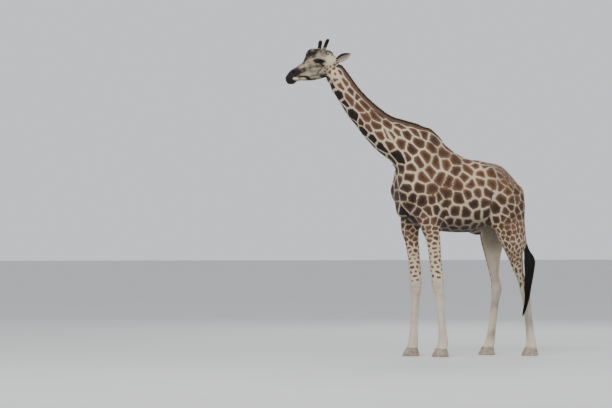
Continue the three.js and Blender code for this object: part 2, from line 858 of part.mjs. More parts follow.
const mane = solid(loft(maneRings)).subtract(neckBlock).subtract(trunkBlock).subtract(headBlock);
addPiece("mane", largest(mane), "mane_hair");

export default group;
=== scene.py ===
import bpy
import math
import numpy as np
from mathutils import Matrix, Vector
from mathutils.bvhtree import BVHTree


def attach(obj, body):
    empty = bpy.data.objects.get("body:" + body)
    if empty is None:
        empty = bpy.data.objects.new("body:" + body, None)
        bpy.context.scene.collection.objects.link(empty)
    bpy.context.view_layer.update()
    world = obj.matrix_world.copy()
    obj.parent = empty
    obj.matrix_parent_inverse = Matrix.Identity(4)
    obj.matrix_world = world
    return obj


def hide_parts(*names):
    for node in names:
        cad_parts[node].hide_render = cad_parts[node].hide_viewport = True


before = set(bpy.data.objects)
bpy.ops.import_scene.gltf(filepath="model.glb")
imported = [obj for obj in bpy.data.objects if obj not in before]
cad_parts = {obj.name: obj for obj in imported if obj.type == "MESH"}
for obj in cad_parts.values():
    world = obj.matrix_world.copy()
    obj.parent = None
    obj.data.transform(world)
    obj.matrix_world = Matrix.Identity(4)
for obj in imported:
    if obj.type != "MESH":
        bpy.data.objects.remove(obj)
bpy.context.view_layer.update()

# ---------------------------------------------------------------------------
# The body under its hair: bone, muscle and fat, a trunk that slopes from high
# withers to a low croup, a long neck carried forward, a wedge-shaped head and
# four columns of legs.  All in millimetres: -X is forward, -Y is its left.
# ---------------------------------------------------------------------------


def table(rows):
    """A smooth curve through a table's rows, sampled so that it can be read anywhere."""
    rows = np.array(rows, float)
    span = np.diff(rows[:, 0])[:, None]
    rise = np.diff(rows, axis=0) / span
    tangent = np.vstack([rise[:1], (rise[1:] + rise[:-1]) / 2, rise[-1:]])
    u = np.linspace(0, 1, 12, endpoint=False)[:, None, None]
    a, b, ta, tb = rows[:-1], rows[1:], tangent[:-1] * span, tangent[1:] * span
    bends = (2 * u**3 - 3 * u**2 + 1) * a + (u**3 - 2 * u**2 + u) * ta
    bends = bends + (3 * u**2 - 2 * u**3) * b + (u**3 - u**2) * tb
    fine = bends.transpose(1, 0, 2).reshape(-1, rows.shape[1])
    return np.vstack([fine, rows[-1:]])


def read(curve, t):
    return [np.interp(t, curve[:, 0], column) for column in curve.T[1:]]


def axis(x, z, degrees, flip=1):
    c, s = math.cos(math.radians(degrees)), math.sin(math.radians(degrees))
    return (x, z), (c, s), (-flip * s, flip * c)


def measured(place, p):
    """How far along and across an axis points lie."""
    (x, z), along, across = place
    dx, dz = p[:, 0] - x, p[:, 2] - z
    return dx * along[0] + dz * along[1], dx * across[0] + dz * across[1]


def turned(u, v, degrees):
    """Two coordinates seen from axes turned by an angle."""
    c, s = math.cos(math.radians(degrees)), math.sin(math.radians(degrees))
    return u * c + v * s, v * c - u * s


def right_side(p):
    """Points of the left side carried over to the right one."""
    return p * (1, 0, 1) + np.abs(p) * (0, 1, 0)


trunk_axis = axis(0, 0, 0)
neck_axis = axis(-60, 2560, 133.3, -1)
head_axis = axis(-1700, 3500, 22)
# Station, low edge, high edge, half width, egg (wider on the high side above 0).
trunk_rows = table([
    (-236, 2020, 2290, 120, 0), (-175, 1880, 2440, 205, 0), (-75, 1770, 2600, 250, -0.1),
    (60, 1680, 2790, 272, -0.3), (200, 1635, 2880, 286, -0.45), (320, 1605, 2822, 306, -0.42),
    (450, 1592, 2712, 332, -0.34), (600, 1584, 2606, 352, -0.28), (750, 1588, 2543, 356, -0.22),
    (900, 1618, 2523, 338, -0.16), (1050, 1690, 2495, 304, -0.1), (1200, 1740, 2456, 282, -0.08),
    (1320, 1765, 2350, 250, -0.05), (1420, 1810, 2232, 200, 0), (1485, 1890, 2110, 135, 0),
])
neck_rows = table([
    (-160, -205, 420, 225, -0.2), (0, -222, 402, 212, -0.2), (117, -222, 372, 198, -0.2),
    (200, -236, 333, 186, -0.2), (297, -252, 272, 174, -0.18), (371, -261, 226, 164, -0.18),
    (468, -263, 162, 152, -0.16), (564, -264, 122, 142, -0.16), (665, -261, 100, 134, -0.15),
    (776, -250, 78, 126, -0.15), (877, -247, 66, 120, -0.14), (991, -231, 59, 113, -0.14),
    (1110, -211, 62, 106, -0.12), (1234, -186, 74, 100, -0.1), (1307, -172, 84, 98, -0.1),
    (1371, -150, 94, 96, -0.1), (1440, -135, 104, 92, -0.1), (1500, -110, 90, 84, -0.1),
])
head_rows = table([
    (6, -42, 34, 40, 0), (40, -63, 58, 56, 0), (75, -76, 80, 63, 0), (105, -72, 95, 64, -0.04),
    (140, -65, 104, 60, -0.08), (180, -71, 109, 58, -0.1), (240, -94, 121, 61, -0.08),
    (300, -116, 136, 70, 0), (350, -131, 178, 80, 0.04), (400, -139, 228, 89, 0.02),
    (450, -147, 250, 95, 0), (500, -150, 244, 99, 0), (550, -145, 226, 101, 0.02),
    (600, -130, 200, 99, 0.04), (660, -100, 166, 90, 0.04), (710, -60, 138, 76, 0),
])
# Legs by height: half depth and half width; then each leg's middle (x, y).
fore_rows = table([
    (104, 71, 69), (178, 68, 64), (218, 63, 61), (270, 57, 55), (345, 53, 49), (472, 52, 47),
    (599, 52, 47), (752, 56, 52), (830, 68, 65), (880, 77, 73), (942, 82, 77), (1000, 80, 76),
    (1108, 81, 73), (1236, 82, 75), (1363, 87, 82), (1490, 98, 92), (1617, 122, 106),
    (1750, 142, 114), (1900, 150, 110),
])
hind_rows = table([
    (104, 71, 67), (177, 64, 60), (267, 57, 51), (358, 53, 46), (589, 52, 44), (744, 56, 48),
    (800, 64, 55), (848, 71, 60), (906, 66, 57), (976, 62, 53), (1079, 71, 60), (1208, 95, 72),
    (1362, 131, 92), (1452, 158, 106), (1555, 182, 122), (1644, 205, 134), (1750, 218, 142),
])
leg_lines = {
    "foreleg_left": table([
        (104, 326, -188), (178, 345, -190), (345, 336, -194), (599, 311, -198), (752, 302, -200),
        (880, 275, -201), (1000, 266, -203), (1236, 235, -208), (1490, 204, -216),
        (1617, 163, -221), (1900, 140, -224),
    ]),
    "foreleg_right": table([
        (104, 68, 188), (178, 78, 190), (345, 91, 194), (599, 106, 198), (752, 117, 200),
        (880, 119, 201), (1000, 117, 203), (1236, 99, 208), (1426, 77, 214), (1617, 52, 221),
        (1900, 80, 224),
    ]),
    "hindleg_left": table([
        (104, 1558, -186), (177, 1562, -188), (267, 1550, -190), (461, 1526, -193),
        (680, 1500, -196), (800, 1480, -198), (906, 1456, -200), (1079, 1387, -203),
        (1208, 1354, -205), (1452, 1289, -207), (1644, 1245, -205), (1750, 1231, -200),
    ]),
    "hindleg_right": table([
        (104, 1120, 186), (177, 1142, 188), (285, 1161, 190), (517, 1196, 194), (647, 1210, 196),
        (780, 1232, 198), (870, 1238, 200), (1036, 1211, 203), (1205, 1193, 205),
        (1426, 1186, 207), (1644, 1195, 205), (1750, 1205, 200),
    ]),
}
# The tail, swung out to the left: height, middle (x, y), half depth, half width.
tail_rows = table([
    (1380, 1486, -219, 17, 16), (1440, 1483, -200, 19, 18), (1500, 1486, -176, 20, 19),
    (1600, 1494, -132, 20, 19), (1710, 1503, -88, 20, 19), (1830, 1515, -46, 22, 20),
    (1950, 1521, -22, 25, 23), (2050, 1519, -8, 29, 26), (2120, 1505, -2, 34, 30),
    (2170, 1473, 0, 40, 35), (2205, 1425, 0, 42, 38),
])
# Muscles and bony points on both sides: x, y, z, radii along, to the side and
# across, slope of the long radius, blend with the body.
masses = [
    (30, 196, 2420, 340, 78, 140, 58, 90),      # shoulder blade
    (165, 222, 2010, 260, 98, 160, -58, 80),    # upper arm
    (-98, 170, 2110, 130, 105, 130, 80, 90),    # point of the shoulder
    (292, 236, 1800, 75, 55, 48, 70, 50),       # elbow
    (1015, 225, 2350, 120, 78, 88, -12, 80),    # point of the hip
    (1175, 205, 1960, 370, 128, 230, -72, 90),  # thigh
    (1378, 132, 1880, 320, 112, 118, 90, 80),   # buttock
    (1045, 232, 1770, 130, 82, 90, 60, 70),     # stifle
    (-1262, 84, 3762, 66, 42, 40, 22, 30),      # brow
    (-1300, 50, 3600, 95, 34, 66, 22, 40),      # cheek
    (-1600, 40, 3612, 36, 22, 30, 30, 22),      # side of the nose
    (-1072, 76, 3762, 48, 38, 44, 40, 30),      # root of the ear
]
midline_masses = [
    (-108, 0, 1960, 190, 140, 104, 75, 80),     # breastbone
    (-1352, 0, 3850, 66, 62, 48, 20, 40),       # knob of the forehead
    (-1612, 0, 3484, 42, 36, 20, 12, 24),       # chin
    (862, 0, 1604, 90, 46, 50, -12, 50),        # sheath
    (1462, 0, 2120, 100, 52, 46, -66, 50),      # root of the tail
]


def blend(a, b, k):
    h = np.maximum(k - np.abs(a - b), 0) / k
    return np.minimum(a, b) - h * h * k / 4


def limit(a, b, k):
    return -blend(-a, -b, k)


def oval(u, v, half_u, half_v, power):
    a, b = np.abs(u) / half_u, np.abs(v) / half_v
    r = np.maximum((a**power + b**power) ** (1 / power), 1e-3)
    return (r - 1) / np.hypot((a / r) ** (power - 1) / half_u, (b / r) ** (power - 1) / half_v)


def long_part(place, rows, power, rounding, p):
    s, v = measured(place, p)
    low, high, half, egg = read(rows, s)
    reach = (high - low) / 2
    height = v - (low + high) / 2
    skew = np.clip(height / reach, -1.3, 1.3)
    side = oval(p[:, 1], height, half * (1 + egg * skew), reach, power)
    return limit(side, np.maximum(rows[0, 0] - s, s - rows[-1, 0]), rounding)


def leg(line, sections, p):
    x, y = read(line, p[:, 2])
    depth, width = read(sections, p[:, 2])
    return limit(oval(p[:, 1] - y, p[:, 0] - x, width, depth, 2.15), p[:, 2] - line[-1, 0], 120)


def tail(p):
    x, y, depth, width = read(tail_rows, p[:, 2])
    side = oval(p[:, 1] - y, p[:, 0] - x, width, depth, 2)
    return limit(side, np.maximum(1380 - p[:, 2], p[:, 2] - 2205), 12)


def mass(item, p):
    x, y, z, along, side, across, slope = item[:7]
    dy = p[:, 1] - y
    a, b = turned(p[:, 0] - x, p[:, 2] - z, slope)
    r = np.sqrt((a / along) ** 2 + (dy / side) ** 2 + (b / across) ** 2)
    slope_r = np.sqrt((a / along**2) ** 2 + (dy / side**2) ** 2 + (b / across**2) ** 2)
    return r * (r - 1) / np.maximum(slope_r, 1e-6)


def within(p, low, high):
    return np.all((p > low) & (p < high), axis=1)


def reach_of(item, room):
    size = max(item[3:6]) + room
    return np.array(item[:3]) - size, np.array(item[:3]) + size


parts = {
    "trunk": (lambda p: long_part(trunk_axis, trunk_rows, 2.25, 130, p),
              (-400, -520, 1400), (1660, 520, 3060), 1),
    "neck": (lambda p: long_part(neck_axis, neck_rows, 2.1, 60, p),
             (-1330, -390, 2120), (400, 390, 3900), 110),
    "head": (lambda p: long_part(head_axis, head_rows, 2.15, 26, p),
             (-1780, -240, 3360), (-900, 240, 4010), 36),
    "tail": (tail, (1340, -330, 1330), (1640, 110, 2290), 26),
}
for name, line in leg_lines.items():
    sections = fore_rows if name.startswith("fore") else hind_rows
    low = (line[:, 1].min() - 350, line[:, 2].min() - 270, 0)
    high = (line[:, 1].max() + 350, line[:, 2].max() + 270, line[-1, 0] + 110)
    shape = (lambda p, line=line, sections=sections: leg(line, sections, p))
    parts[name] = (shape, low, high, 90)


def part_distances(p):
    found = {}
    for name, (shape, low, high, _) in parts.items():
        near = within(p, low, high)
        found[name] = np.full(len(p), 400.0)
        found[name][near] = shape(p[near])
    return found


def body(p):
    value = np.full(len(p), 1000.0)
    for shape, low, high, k in parts.values():
        near = within(p, low, high)
        value[near] = blend(value[near], shape(p[near]), k)
    for items, q in ((masses, right_side(p)), (midline_masses, p)):
        for item in items:
            near = within(q, *reach_of(item, 110))
            value[near] = blend(value[near], mass(item, q[near]), item[7])
    return value


# ---------------------------------------------------------------------------
# The skin: one hide from lips to tail, drawn over the flesh a coat's depth
# below the tips of the hair, with the finer forms that show through it: lids,
# nostrils, lips, folds at elbow and flank, tendons and joints of the legs.
# ---------------------------------------------------------------------------
eye = np.array((-1268.0, 103.0, 3739.0))
eye_radius = 27.0
lid_slope = 8
lid_half, lid_high, lid_low = 28, 18.5, 13.5
# The horns rise out of the skin of the crown, from these places to these tips.
horns = {
    "left": (np.array((-1240.0, -64, 3822)), np.array((-1168.0, -104, 4024))),
    "right": (np.array((-1243.0, 66, 3822)), np.array((-1198.0, 110, 4022))),
}
horn_square = 44000    # about a horn's length, squared
# Grooves (above 0) and ridges (below 0) on both sides: depth, width, the
# sides they are on, and the line they follow seen from the side.
folds = [
    (5.0, 5, 0, [(-1693, 3482), (-1648, 3490), (-1600, 3508), (-1545, 3530), (-1486, 3546)]),
    (-3.5, 9, 0, [(-1690, 3468), (-1640, 3470), (-1560, 3500), (-1500, 3524)]),
    (-4.0, 12, 0, [(-1235, 3690), (-1330, 3662), (-1430, 3640)]),
    (4.5, 16, 0, [(-1320, 3700), (-1420, 3668), (-1520, 3610)]),
    (4.0, 14, 0, [(-1210, 3570), (-1170, 3640), (-1130, 3720)]),
    (9.0, 26, 0, [(-1090, 3480), (-900, 3190), (-690, 2900), (-430, 2640), (-250, 2480)]),
    (13.0, 24, 0, [(-150, 2500), (-60, 2330), (-120, 2180)]),
    (15.0, 20, 0, [(330, 2160), (352, 2040), (330, 1900), (345, 1790)]),
    (11.0, 34, 0, [(250, 2740), (170, 2560), (230, 2380), (330, 2240)]),
    (9.0, 34, 0, [(-40, 2030), (60, 1930), (60, 1800)]),
    (16.0, 20, 0, [(992, 2150), (970, 1990), (955, 1850), (958, 1730)]),
    (20.0, 60, 0, [(930, 2340), (900, 2220), (930, 2120)]),
    (8.0, 34, 0, [(1290, 2250), (1330, 2050), (1320, 1850), (1330, 1650)]),
    (9.0, 18, -1, [(1410, 1330), (1428, 1180), (1452, 1030)]),
    (9.0, 18, 1, [(1232, 1320), (1240, 1180), (1252, 1030)]),
    (6.0, 11, -1, [(332, 800), (330, 640), (352, 420), (366, 290)]),
    (6.0, 11, 1, [(146, 800), (128, 640), (112, 420), (98, 290)]),
    (6.0, 11, -1, [(1512, 760), (1528, 620), (1554, 420), (1576, 280)]),
    (6.0, 11, 1, [(1254, 760), (1238, 620), (1204, 420), (1180, 280)]),
    (5.0, 14, -1, [(212, 880), (300, 862), (340, 880)]),
    (5.0, 14, 1, [(62, 880), (140, 862), (184, 880)]),
]
for rib in range(7):
    x = 430 + 72 * rib
    folds.append((-3.2, 26, 0, [(x, 2430 - 12 * rib), (x + 60, 2150), (x + 50, 1850)]))


def apart(p, line):
    """Distance, seen from the side, from a line of straight runs."""
    best = np.full(len(p), 1e9)
    for (ax, az), (bx, bz) in zip(line, line[1:]):
        dx, dz = bx - ax, bz - az
        t = np.clip(((p[:, 0] - ax) * dx + (p[:, 2] - az) * dz) / (dx * dx + dz * dz), 0, 1)
        best = np.minimum(best, np.hypot(p[:, 0] - ax - t * dx, p[:, 2] - az - t * dz))
    return best


def step(low, high, t):
    u = np.clip((t - low) / (high - low), 0, 1)
    return u * u * (3 - 2 * u)


def coat_depth(p):
    """Thickness of the coat in mm: thin on face and feet, most on trunk and neck."""
    s, _ = measured(neck_axis, p)
    head = step(1000, 1400, s) * step(-900, -1100, p[:, 0])
    return 3.0 + 5.5 * step(500, 1700, p[:, 2]) * (1 - head)


def skin(p):
    value = body(p) + coat_depth(p)
    folded = right_side(p)
    for depth, width, side, line in folds:
        ends = np.array(line)
        (x0, z0), (x1, z1) = ends.min(0) - 3 * width, ends.max(0) + 3 * width
        near = within(p, (x0, -600 * (side <= 0), z0), (x1, 600 * (side >= 0), z1))
        q = p[near]
        outer = step(20, 60, np.abs(q[:, 1])) if side == 0 and q.size and ends[0, 1] < 3400 else 1
        value[near] = value[near] + outer * depth * np.exp(-((apart(q, line) / width) ** 2))
    near = within(folded, eye - 130, eye + 130)
    q = folded[near] - eye
    a, b = turned(q[:, 0], q[:, 2], lid_slope)
    found = blend(value[near], np.linalg.norm(q, axis=1) - eye_radius - 4.5, 16)
    ridge = mass((6, 14, 30, 46, 15, 12, 14), q)
    found = blend(found, ridge, 18)
    bow = 1 - (a / lid_half) ** 2
    gap = limit(b - lid_high * bow, -b - lid_low * bow, 3)
    gap = limit(gap, -q[:, 1], 4)
    value[near] = limit(found, -gap, 5)
    nostril = (-1607, 49, 3606, 22, 15, 9, 48)
    near = within(folded, *reach_of(nostril, 40))
    value[near] = limit(value[near], -mass(nostril, folded[near]), 8)
    for base, tip in horns.values():
        near = within(p, (-1360, -200, 3740), (-1080, 200, 3960))
        q = p[near] - base
        t = np.clip(q @ (tip - base) / horn_square, -0.4, 0.4)
        column = np.linalg.norm(q - t[:, None] * (tip - base), axis=1)
        column = column - 36 + 42 * np.maximum(t, 0)
        value[near] = blend(value[near], column, 36)
    return limit(value, 92 - p[:, 2], 8)


def lines(low, high, coarse, fine):
    """Grid lines whose spacing narrows smoothly round the finer places."""
    t = [low]
    while t[-1] < high:
        wanted = [size + max(0.0, abs(t[-1] - c) - half) * 0.13 for c, half, size in fine]
        t.append(t[-1] + min([coarse] + wanted))
    return np.array(t)


xs = lines(-1730, 1690, 17, [(-1330, 370, 6.6), (-1268, 32, 2.9), (-1640, 60, 5.0), (1497, 36, 9)])
zs = lines(70, 3990, 18, [(3660, 220, 6.6), (3741, 26, 2.9), (3560, 70, 5.2)])
half_ys = lines(3.8, 430, 15, [(0, 40, 7.6), (106, 20, 4.4)])
ys = np.concatenate([-half_ys[::-1], half_ys])


def crossed(axes):
    return np.stack(np.meshgrid(*axes, indexing="ij"), -1)


def netted(field, *grid):
    """Quads over the surface where the field is zero, one corner per crossed cell."""
    size = tuple(len(g) for g in grid)
    value = np.empty(size, np.float32)
    block = 8
    starts = [np.arange(0, n, block) for n in size]
    ends = [np.minimum(s + block, n) - 1 for s, n in zip(starts, size)]
    mid = [(g[s] + g[e]) / 2 for g, s, e in zip(grid, starts, ends)]
    half = [(g[np.minimum(e + 1, len(g) - 1)] - g[s]) / 2 for g, s, e in zip(grid, starts, ends)]
    radius = np.linalg.norm(crossed(half).reshape(-1, 3), axis=1)
    rough = field(crossed(mid).reshape(-1, 3))
    blocks = crossed([range(len(s)) for s in starts]).reshape(-1, 3)
    waiting = []
    for place, distance, room in zip(blocks, rough, radius):
        cut = tuple(slice(s[n], e[n] + 1) for s, e, n in zip(starts, ends, place))
        if abs(distance) > 1.5 * room + 25:
            value[cut] = distance
        else:
            waiting.append(cut)
    for first in range(0, len(waiting), 400):
        batch = waiting[first:first + 400]
        boxes = [crossed([g[c] for g, c in zip(grid, cut)]) for cut in batch]
        found = field(np.concatenate([box.reshape(-1, 3) for box in boxes]))
        at = 0
        for cut, box in zip(batch, boxes):
            count = box.size // 3
            value[cut] = found[at:at + count].reshape(box.shape[:3])
            at += count
    inside = value < 0
    corners, places, quads = [], [], []
    for way in range(3):
        near = [slice(None)] * 3
        far = [slice(None)] * 3
        near[way], far[way] = slice(0, -1), slice(1, None)
        index = np.argwhere(inside[tuple(near)] != inside[tuple(far)])
        ahead = index.copy()
        ahead[:, way] += 1
        a, b = value[tuple(index.T)], value[tuple(ahead.T)]
        place = np.stack([g[index[:, m]] for m, g in enumerate(grid)], 1)
        place[:, way] += (a / (a - b)) * (grid[way][ahead[:, way]] - grid[way][index[:, way]])
        ring = []
        for m, n in ((0, 0), (1, 0), (1, 1), (0, 1)):
            cell = index.copy()
            cell[:, (way + 1) % 3] -= m
            cell[:, (way + 2) % 3] -= n
            ring.append(np.ravel_multi_index(tuple(cell.T), size))
            corners.append(ring[-1])
            places.append(place)
        quad = np.stack(ring, 1)
        quad[a >= 0] = quad[a >= 0][:, ::-1]
        quads.append(quad)
    names, number = np.unique(np.concatenate(corners), return_inverse=True)
    count = np.bincount(number)
    places = np.concatenate(places)
    points = np.stack([np.bincount(number, places[:, m]) / count for m in range(3)], 1)
    return points, np.searchsorted(names, np.concatenate(quads))


def gradient(field, p, reach=1.5):
    slope = np.empty_like(p)
    for m in range(3):
        shift = np.eye(3)[m] * reach
        slope[:, m] = (field(p + shift) - field(p - shift)) / (2 * reach)
    return slope


def settled(field, p, rounds=2):
    for _ in range(rounds):
        slope = gradient(field, p)
        square = np.maximum((slope**2).sum(1), 0.05)
        p = p - np.clip(field(p) / square, -8, 8)[:, None] * slope
    return p


def neighbours_mean(points, quads):
    here, there = np.concatenate([quads[:, [m, (m + 1) % 4]] for m in range(4)]).T
    count = np.bincount(here, minlength=len(points))
    sums = [np.bincount(here, points[there, m], len(points)) for m in range(3)]
    return np.stack(sums, 1) / count[:, None]


def unit(v):
    return v / np.maximum(np.linalg.norm(v, axis=-1, keepdims=True), 1e-6)


def across_to(way, normal):
    """Directions turned square to others."""
    return unit(way - (way * normal).sum(-1, keepdims=True) * normal)


def round_the(rings, turns):
    """Quads between rings of corners, each ring closed."""
    i, j = np.meshgrid(np.arange(rings - 1), np.arange(turns), indexing="ij")
    a, b = i * turns + j, i * turns + (j + 1) % turns
    return np.stack([a, b, b + turns, a + turns], -1).reshape(-1, 4)


def halved(quads):
    return np.concatenate([quads[:, [0, 1, 2]], quads[:, [0, 2, 3]]])


hide, hide_quads = netted(skin, xs, ys, zs)
for _ in range(2):
    hide = 0.5 * hide + 0.5 * neighbours_mean(hide, hide_quads)
    hide = settled(skin, hide, 1)

# Ears: leaves of gristle rolled open toward the front.
ear_outline = table([
    (0, 24, 16), (0.14, 31, 12), (0.3, 46, 9), (0.46, 54, 7.5), (0.62, 51, 6.5),
    (0.78, 37, 5.5), (0.9, 21, 4.5), (1, 4, 3),
])
ears = {
    "left": ((-1080, -82, 3746), (-894, -194, 3846), (-0.3, -0.85, -0.35)),
    "right": ((-1080, 82, 3746), (-902, 204, 3806), (-0.35, 0.8, -0.4)),
}
ear_rings, ear_segments = 34, 36
points, quads, rims, ear_ways = [hide], [hide_quads], [np.zeros(len(hide))], []
for root, tip, opening in ears.values():
    root, tip, opening = (np.array(v, float) for v in (root, tip, opening))
    along = tip - root
    toward = unit(along)
    ear_ways.append(toward)
    front = across_to(opening, toward)
    across = np.cross(toward, front)
    first = sum(len(p) for p in points)
    turn = np.linspace(0, 2 * math.pi, ear_segments, endpoint=False)
    t = np.linspace(0.0, 0.995, ear_rings)
    half, thick = read(ear_outline, t)
    half, thick = half - 2.0, np.maximum(thick - 2.5, 1.5)
    u = np.cos(turn)[None, :]
    roll = np.clip(3.4 * t, 0, 1) * (1 - 0.35 * t)
    cup = (half * 0.52 * roll)[:, None] * (1 - u * u)
    wave = 1 + 0.02 * np.sin(7 * t)[:, None] * u
    ring = root + t[:, None, None] * along + (half[:, None] * u * wave)[..., None] * across
    ring = ring + (thick[:, None] * np.sin(turn)[None, :] - cup)[..., None] * front
    points.append(ring.reshape(-1, 3))
    upper = np.sign(across[2]) * np.repeat(u, ear_rings, 0)
    at_root = step(0.22, 0.05, t)[:, None]
    rims.append(np.where(upper == 0, 0.01, upper * (1 - at_root) + at_root).ravel())
    shell = round_the(ear_rings, ear_segments)
    if np.cross(across, front).dot(toward) < 0:
        shell = shell[:, ::-1]
    quads.append(shell + first)
ear_start = len(hide)
hide, hide_quads = np.concatenate(points), np.concatenate(quads)
ear_rims, ear_ways = np.concatenate(rims), np.array(ear_ways)
centring = np.array((25.88, 0, 0))    # the origin lies under the middle of the whole


def new_mesh(name, points, faces):
    """A smooth mesh in metres from corners in millimetres and equal-sided faces."""
    mesh = bpy.data.meshes.new(name)
    mesh.vertices.add(len(points))
    placed = (np.asarray(points) + centring) * 0.001
    mesh.vertices.foreach_set("co", placed.astype(np.float32).ravel())
    mesh.loops.add(faces.size)
    mesh.loops.foreach_set("vertex_index", faces.astype(np.int32).ravel())
    mesh.polygons.add(len(faces))
    starts = np.arange(0, faces.size, faces.shape[1], dtype=np.int32)
    mesh.polygons.foreach_set("loop_start", starts)
    mesh.update(calc_edges=True)
    mesh.polygons.foreach_set("use_smooth", np.full(len(faces), True))
    piece = bpy.data.objects.new(name, mesh)
    bpy.context.collection.objects.link(piece)
    return piece


hide_piece = new_mesh("hide", hide, hide_quads)
hide_normals = np.empty(len(hide) * 3, np.float32)
hide_piece.data.vertices.foreach_get("normal", hide_normals)
hide_normals = hide_normals.reshape(-1, 3).astype(float)

# Flat layout of the hide, for the finished colours.
bpy.context.view_layer.objects.active = hide_piece
hide_piece.select_set(True)
hide_piece.data.uv_layers.new(name="OFBake")
bpy.ops.object.mode_set(mode="EDIT")
bpy.ops.mesh.select_all(action="SELECT")
bpy.ops.uv.smart_project(angle_limit=math.radians(72), island_margin=0.002, correct_aspect=False)
bpy.ops.object.mode_set(mode="OBJECT")
hide_uv = np.empty(len(hide_piece.data.loops) * 2, np.float32)
hide_piece.data.uv_layers["OFBake"].data.foreach_get("uv", hide_uv)
hide_uv = hide_uv.reshape(-1, 4, 2)

# ---------------------------------------------------------------------------
# Markings of the coat: brown patches parted by pale lines, one patch round
# each growing point; large on the trunk, long on the neck, fine and streaky on
# the croup, small on thigh and forearm, spots on the cheek, none on the feet.
# ---------------------------------------------------------------------------
dice = np.random.default_rng(7)
# Growing points on the left side, in centimetres; the right side has the same
# ones a little displaced.
left_points = [
    (-26, -14, 288), (-13, -15, 285), (0, -11, 288), (11, -11, 285), (25, -13, 278),
    (-38, -16, 284), (-22, -19, 272), (2, -19, 274), (17, -24, 268), (37, -18, 260),
    (-37, -16, 269), (-9, -21, 264), (-1, -27, 250), (8, -27, 255), (24, -25, 247),
    (51, -19, 251), (50, -26, 238), (-12, -24, 242), (15, -27, 236), (28, -29, 228),
    (5, -28, 228), (37, -30, 224), (50, -32, 220), (-14, -25, 229), (-21, -11, 226),
    (-1, -30, 216), (-18, -25, 216), (15, -32, 213), (50, -36, 203), (-20, -21, 204),
    (-10, -27, 202), (2, -30, 199), (16, -33, 200), (24, -34, 202), (32, -34, 195),
    (-12, -19, 192), (-1, -25, 183), (9, -32, 186), (21, -34, 188), (45, -35, 185),
    (32, -33, 182), (68, -24, 239), (68, -32, 220), (84, -26, 234), (82, -30, 224),
    (98, -31, 221), (76, -35, 210), (91, -33, 211), (70, -37, 196),
    (86, -35, 196), (76, -35, 181), (88, -33, 184), (60, -36, 183), (52, -29, 170),
    (63, -31, 171), (40, -28, 172), (72, -12, 250), (78, -18, 244), (110, -32, 219),
    (118, -32, 213), (111, -34, 201), (103, -33, 189), (104, -32, 174), (112, -33, 176),
    (116, -33, 185), (125, -33, 200), (133, -30, 202), (123, -33, 191), (125, -32, 181),
    (133, -30, 187), (118, -33, 172), (128, -33, 173), (34, -25, 168), (48, -20, 163),
    (-106, -9, 351), (-102, -9, 346), (-94, -8, 351), (-83, -9, 336), (-90, -11, 328),
    (-70, -9, 322), (-75, -12, 318), (-68, -13, 305), (-54, -11, 307), (-73, -10, 298),
    (-65, -12, 292), (-54, -14, 294), (-36, -12, 296), (-50, -15, 284), (-36, -16, 284),
    (-101, -7, 361), (-108, -9, 360), (-79, -9, 333), (8, -32, 172), (4, -26, 163),
    (3, -29, 180), (17, -33, 172), (11, -30, 159), (19, -32, 163), (13, -27, 148),
    (21, -31, 151), (19, -29, 139), (15, -25, 132), (22, -29, 129), (21, -27, 120),
    (25, -28, 115), (18, -24, 115), (25, -28, 108), (113, -30, 158), (120, -33, 158),
    (128, -33, 159), (134, -32, 162), (118, -30, 150), (126, -32, 150), (135, -31, 149),
    (118, -33, 166), (110, -30, 165), (138, -30, 171), (126, -34, 166), (123, -30, 141),
    (131, -30, 140), (139, -28, 139), (119, -24, 136), (126, -28, 131), (134, -29, 130),
    (131, -27, 121), (137, -27, 116), (133, -25, 109), (139, -25, 101), (-127, -9, 364),
    (-120, -6, 358), (-115, -3, 354), (-121, -9, 366), (-118, -10, 369), (-113, -7, 362),
    (-114, -6, 387), (-111, -8, 384), (-116, -9, 383), (-121, -10, 386), (-112, -9, 369),
    (33, -33, 208), (-23, 0, 207), (-24, 0, 190),
]
# Nearly black patches: along the front of the neck, where each reaches round to the other side,
# and in the hollows at its root.
throat_points = [
    (-109, -4, 344), (-102, -6, 333), (-95, -7, 323), (-84, -7, 307), (-69, -6, 288),
    (-58, -9, 277), (-46, -10, 267), (-24, -16, 254),
]
# How far each of these spreads beyond its even share of the skin.
throat_reach = np.array((15.0, 44, 20, 46, 32, 32, 34, 54))
# One more nearly black patch, in the crease between the chest and the near upper arm, is painted
# shade.
crease_shade_points = [(-18, -9, 185)]
# Points on the front and inner side of the right foreleg.
inner_points = [
    (-7, 18, 176), (-6, 19, 167), (-1, 13, 165), (-5, 21, 158), (3, 13, 153), (3, 14, 144),
    (3, 15, 134), (10, 13, 135), (3, 17, 125), (9, 13, 125), (4, 16, 120), (6, 15, 114),
    (11, 13, 114), (4, 17, 107),
]


def regions(p):
    """Shares of head, neck, trunk, forelegs, hind legs and tail in each point."""
    found = part_distances(p)
    fore = np.minimum(found["foreleg_left"], found["foreleg_right"])
    hind = np.minimum(found["hindleg_left"], found["hindleg_right"])
    stack = np.stack([found["head"], found["neck"], found["trunk"], fore, hind, found["tail"]], 1)
    share = np.exp(-np.clip(stack, -60, 400) / 28)
    share[:, 3] *= step(1850, 1550, p[:, 2])
    share[:, 4] *= step(1800, 1500, p[:, 2])
    return share / share.sum(1)[:, None]


def croup(p):
    return step(820, 1060, p[:, 0] + 0.3 * (p[:, 2] - 2350)) * step(2100, 2330, p[:, 2])


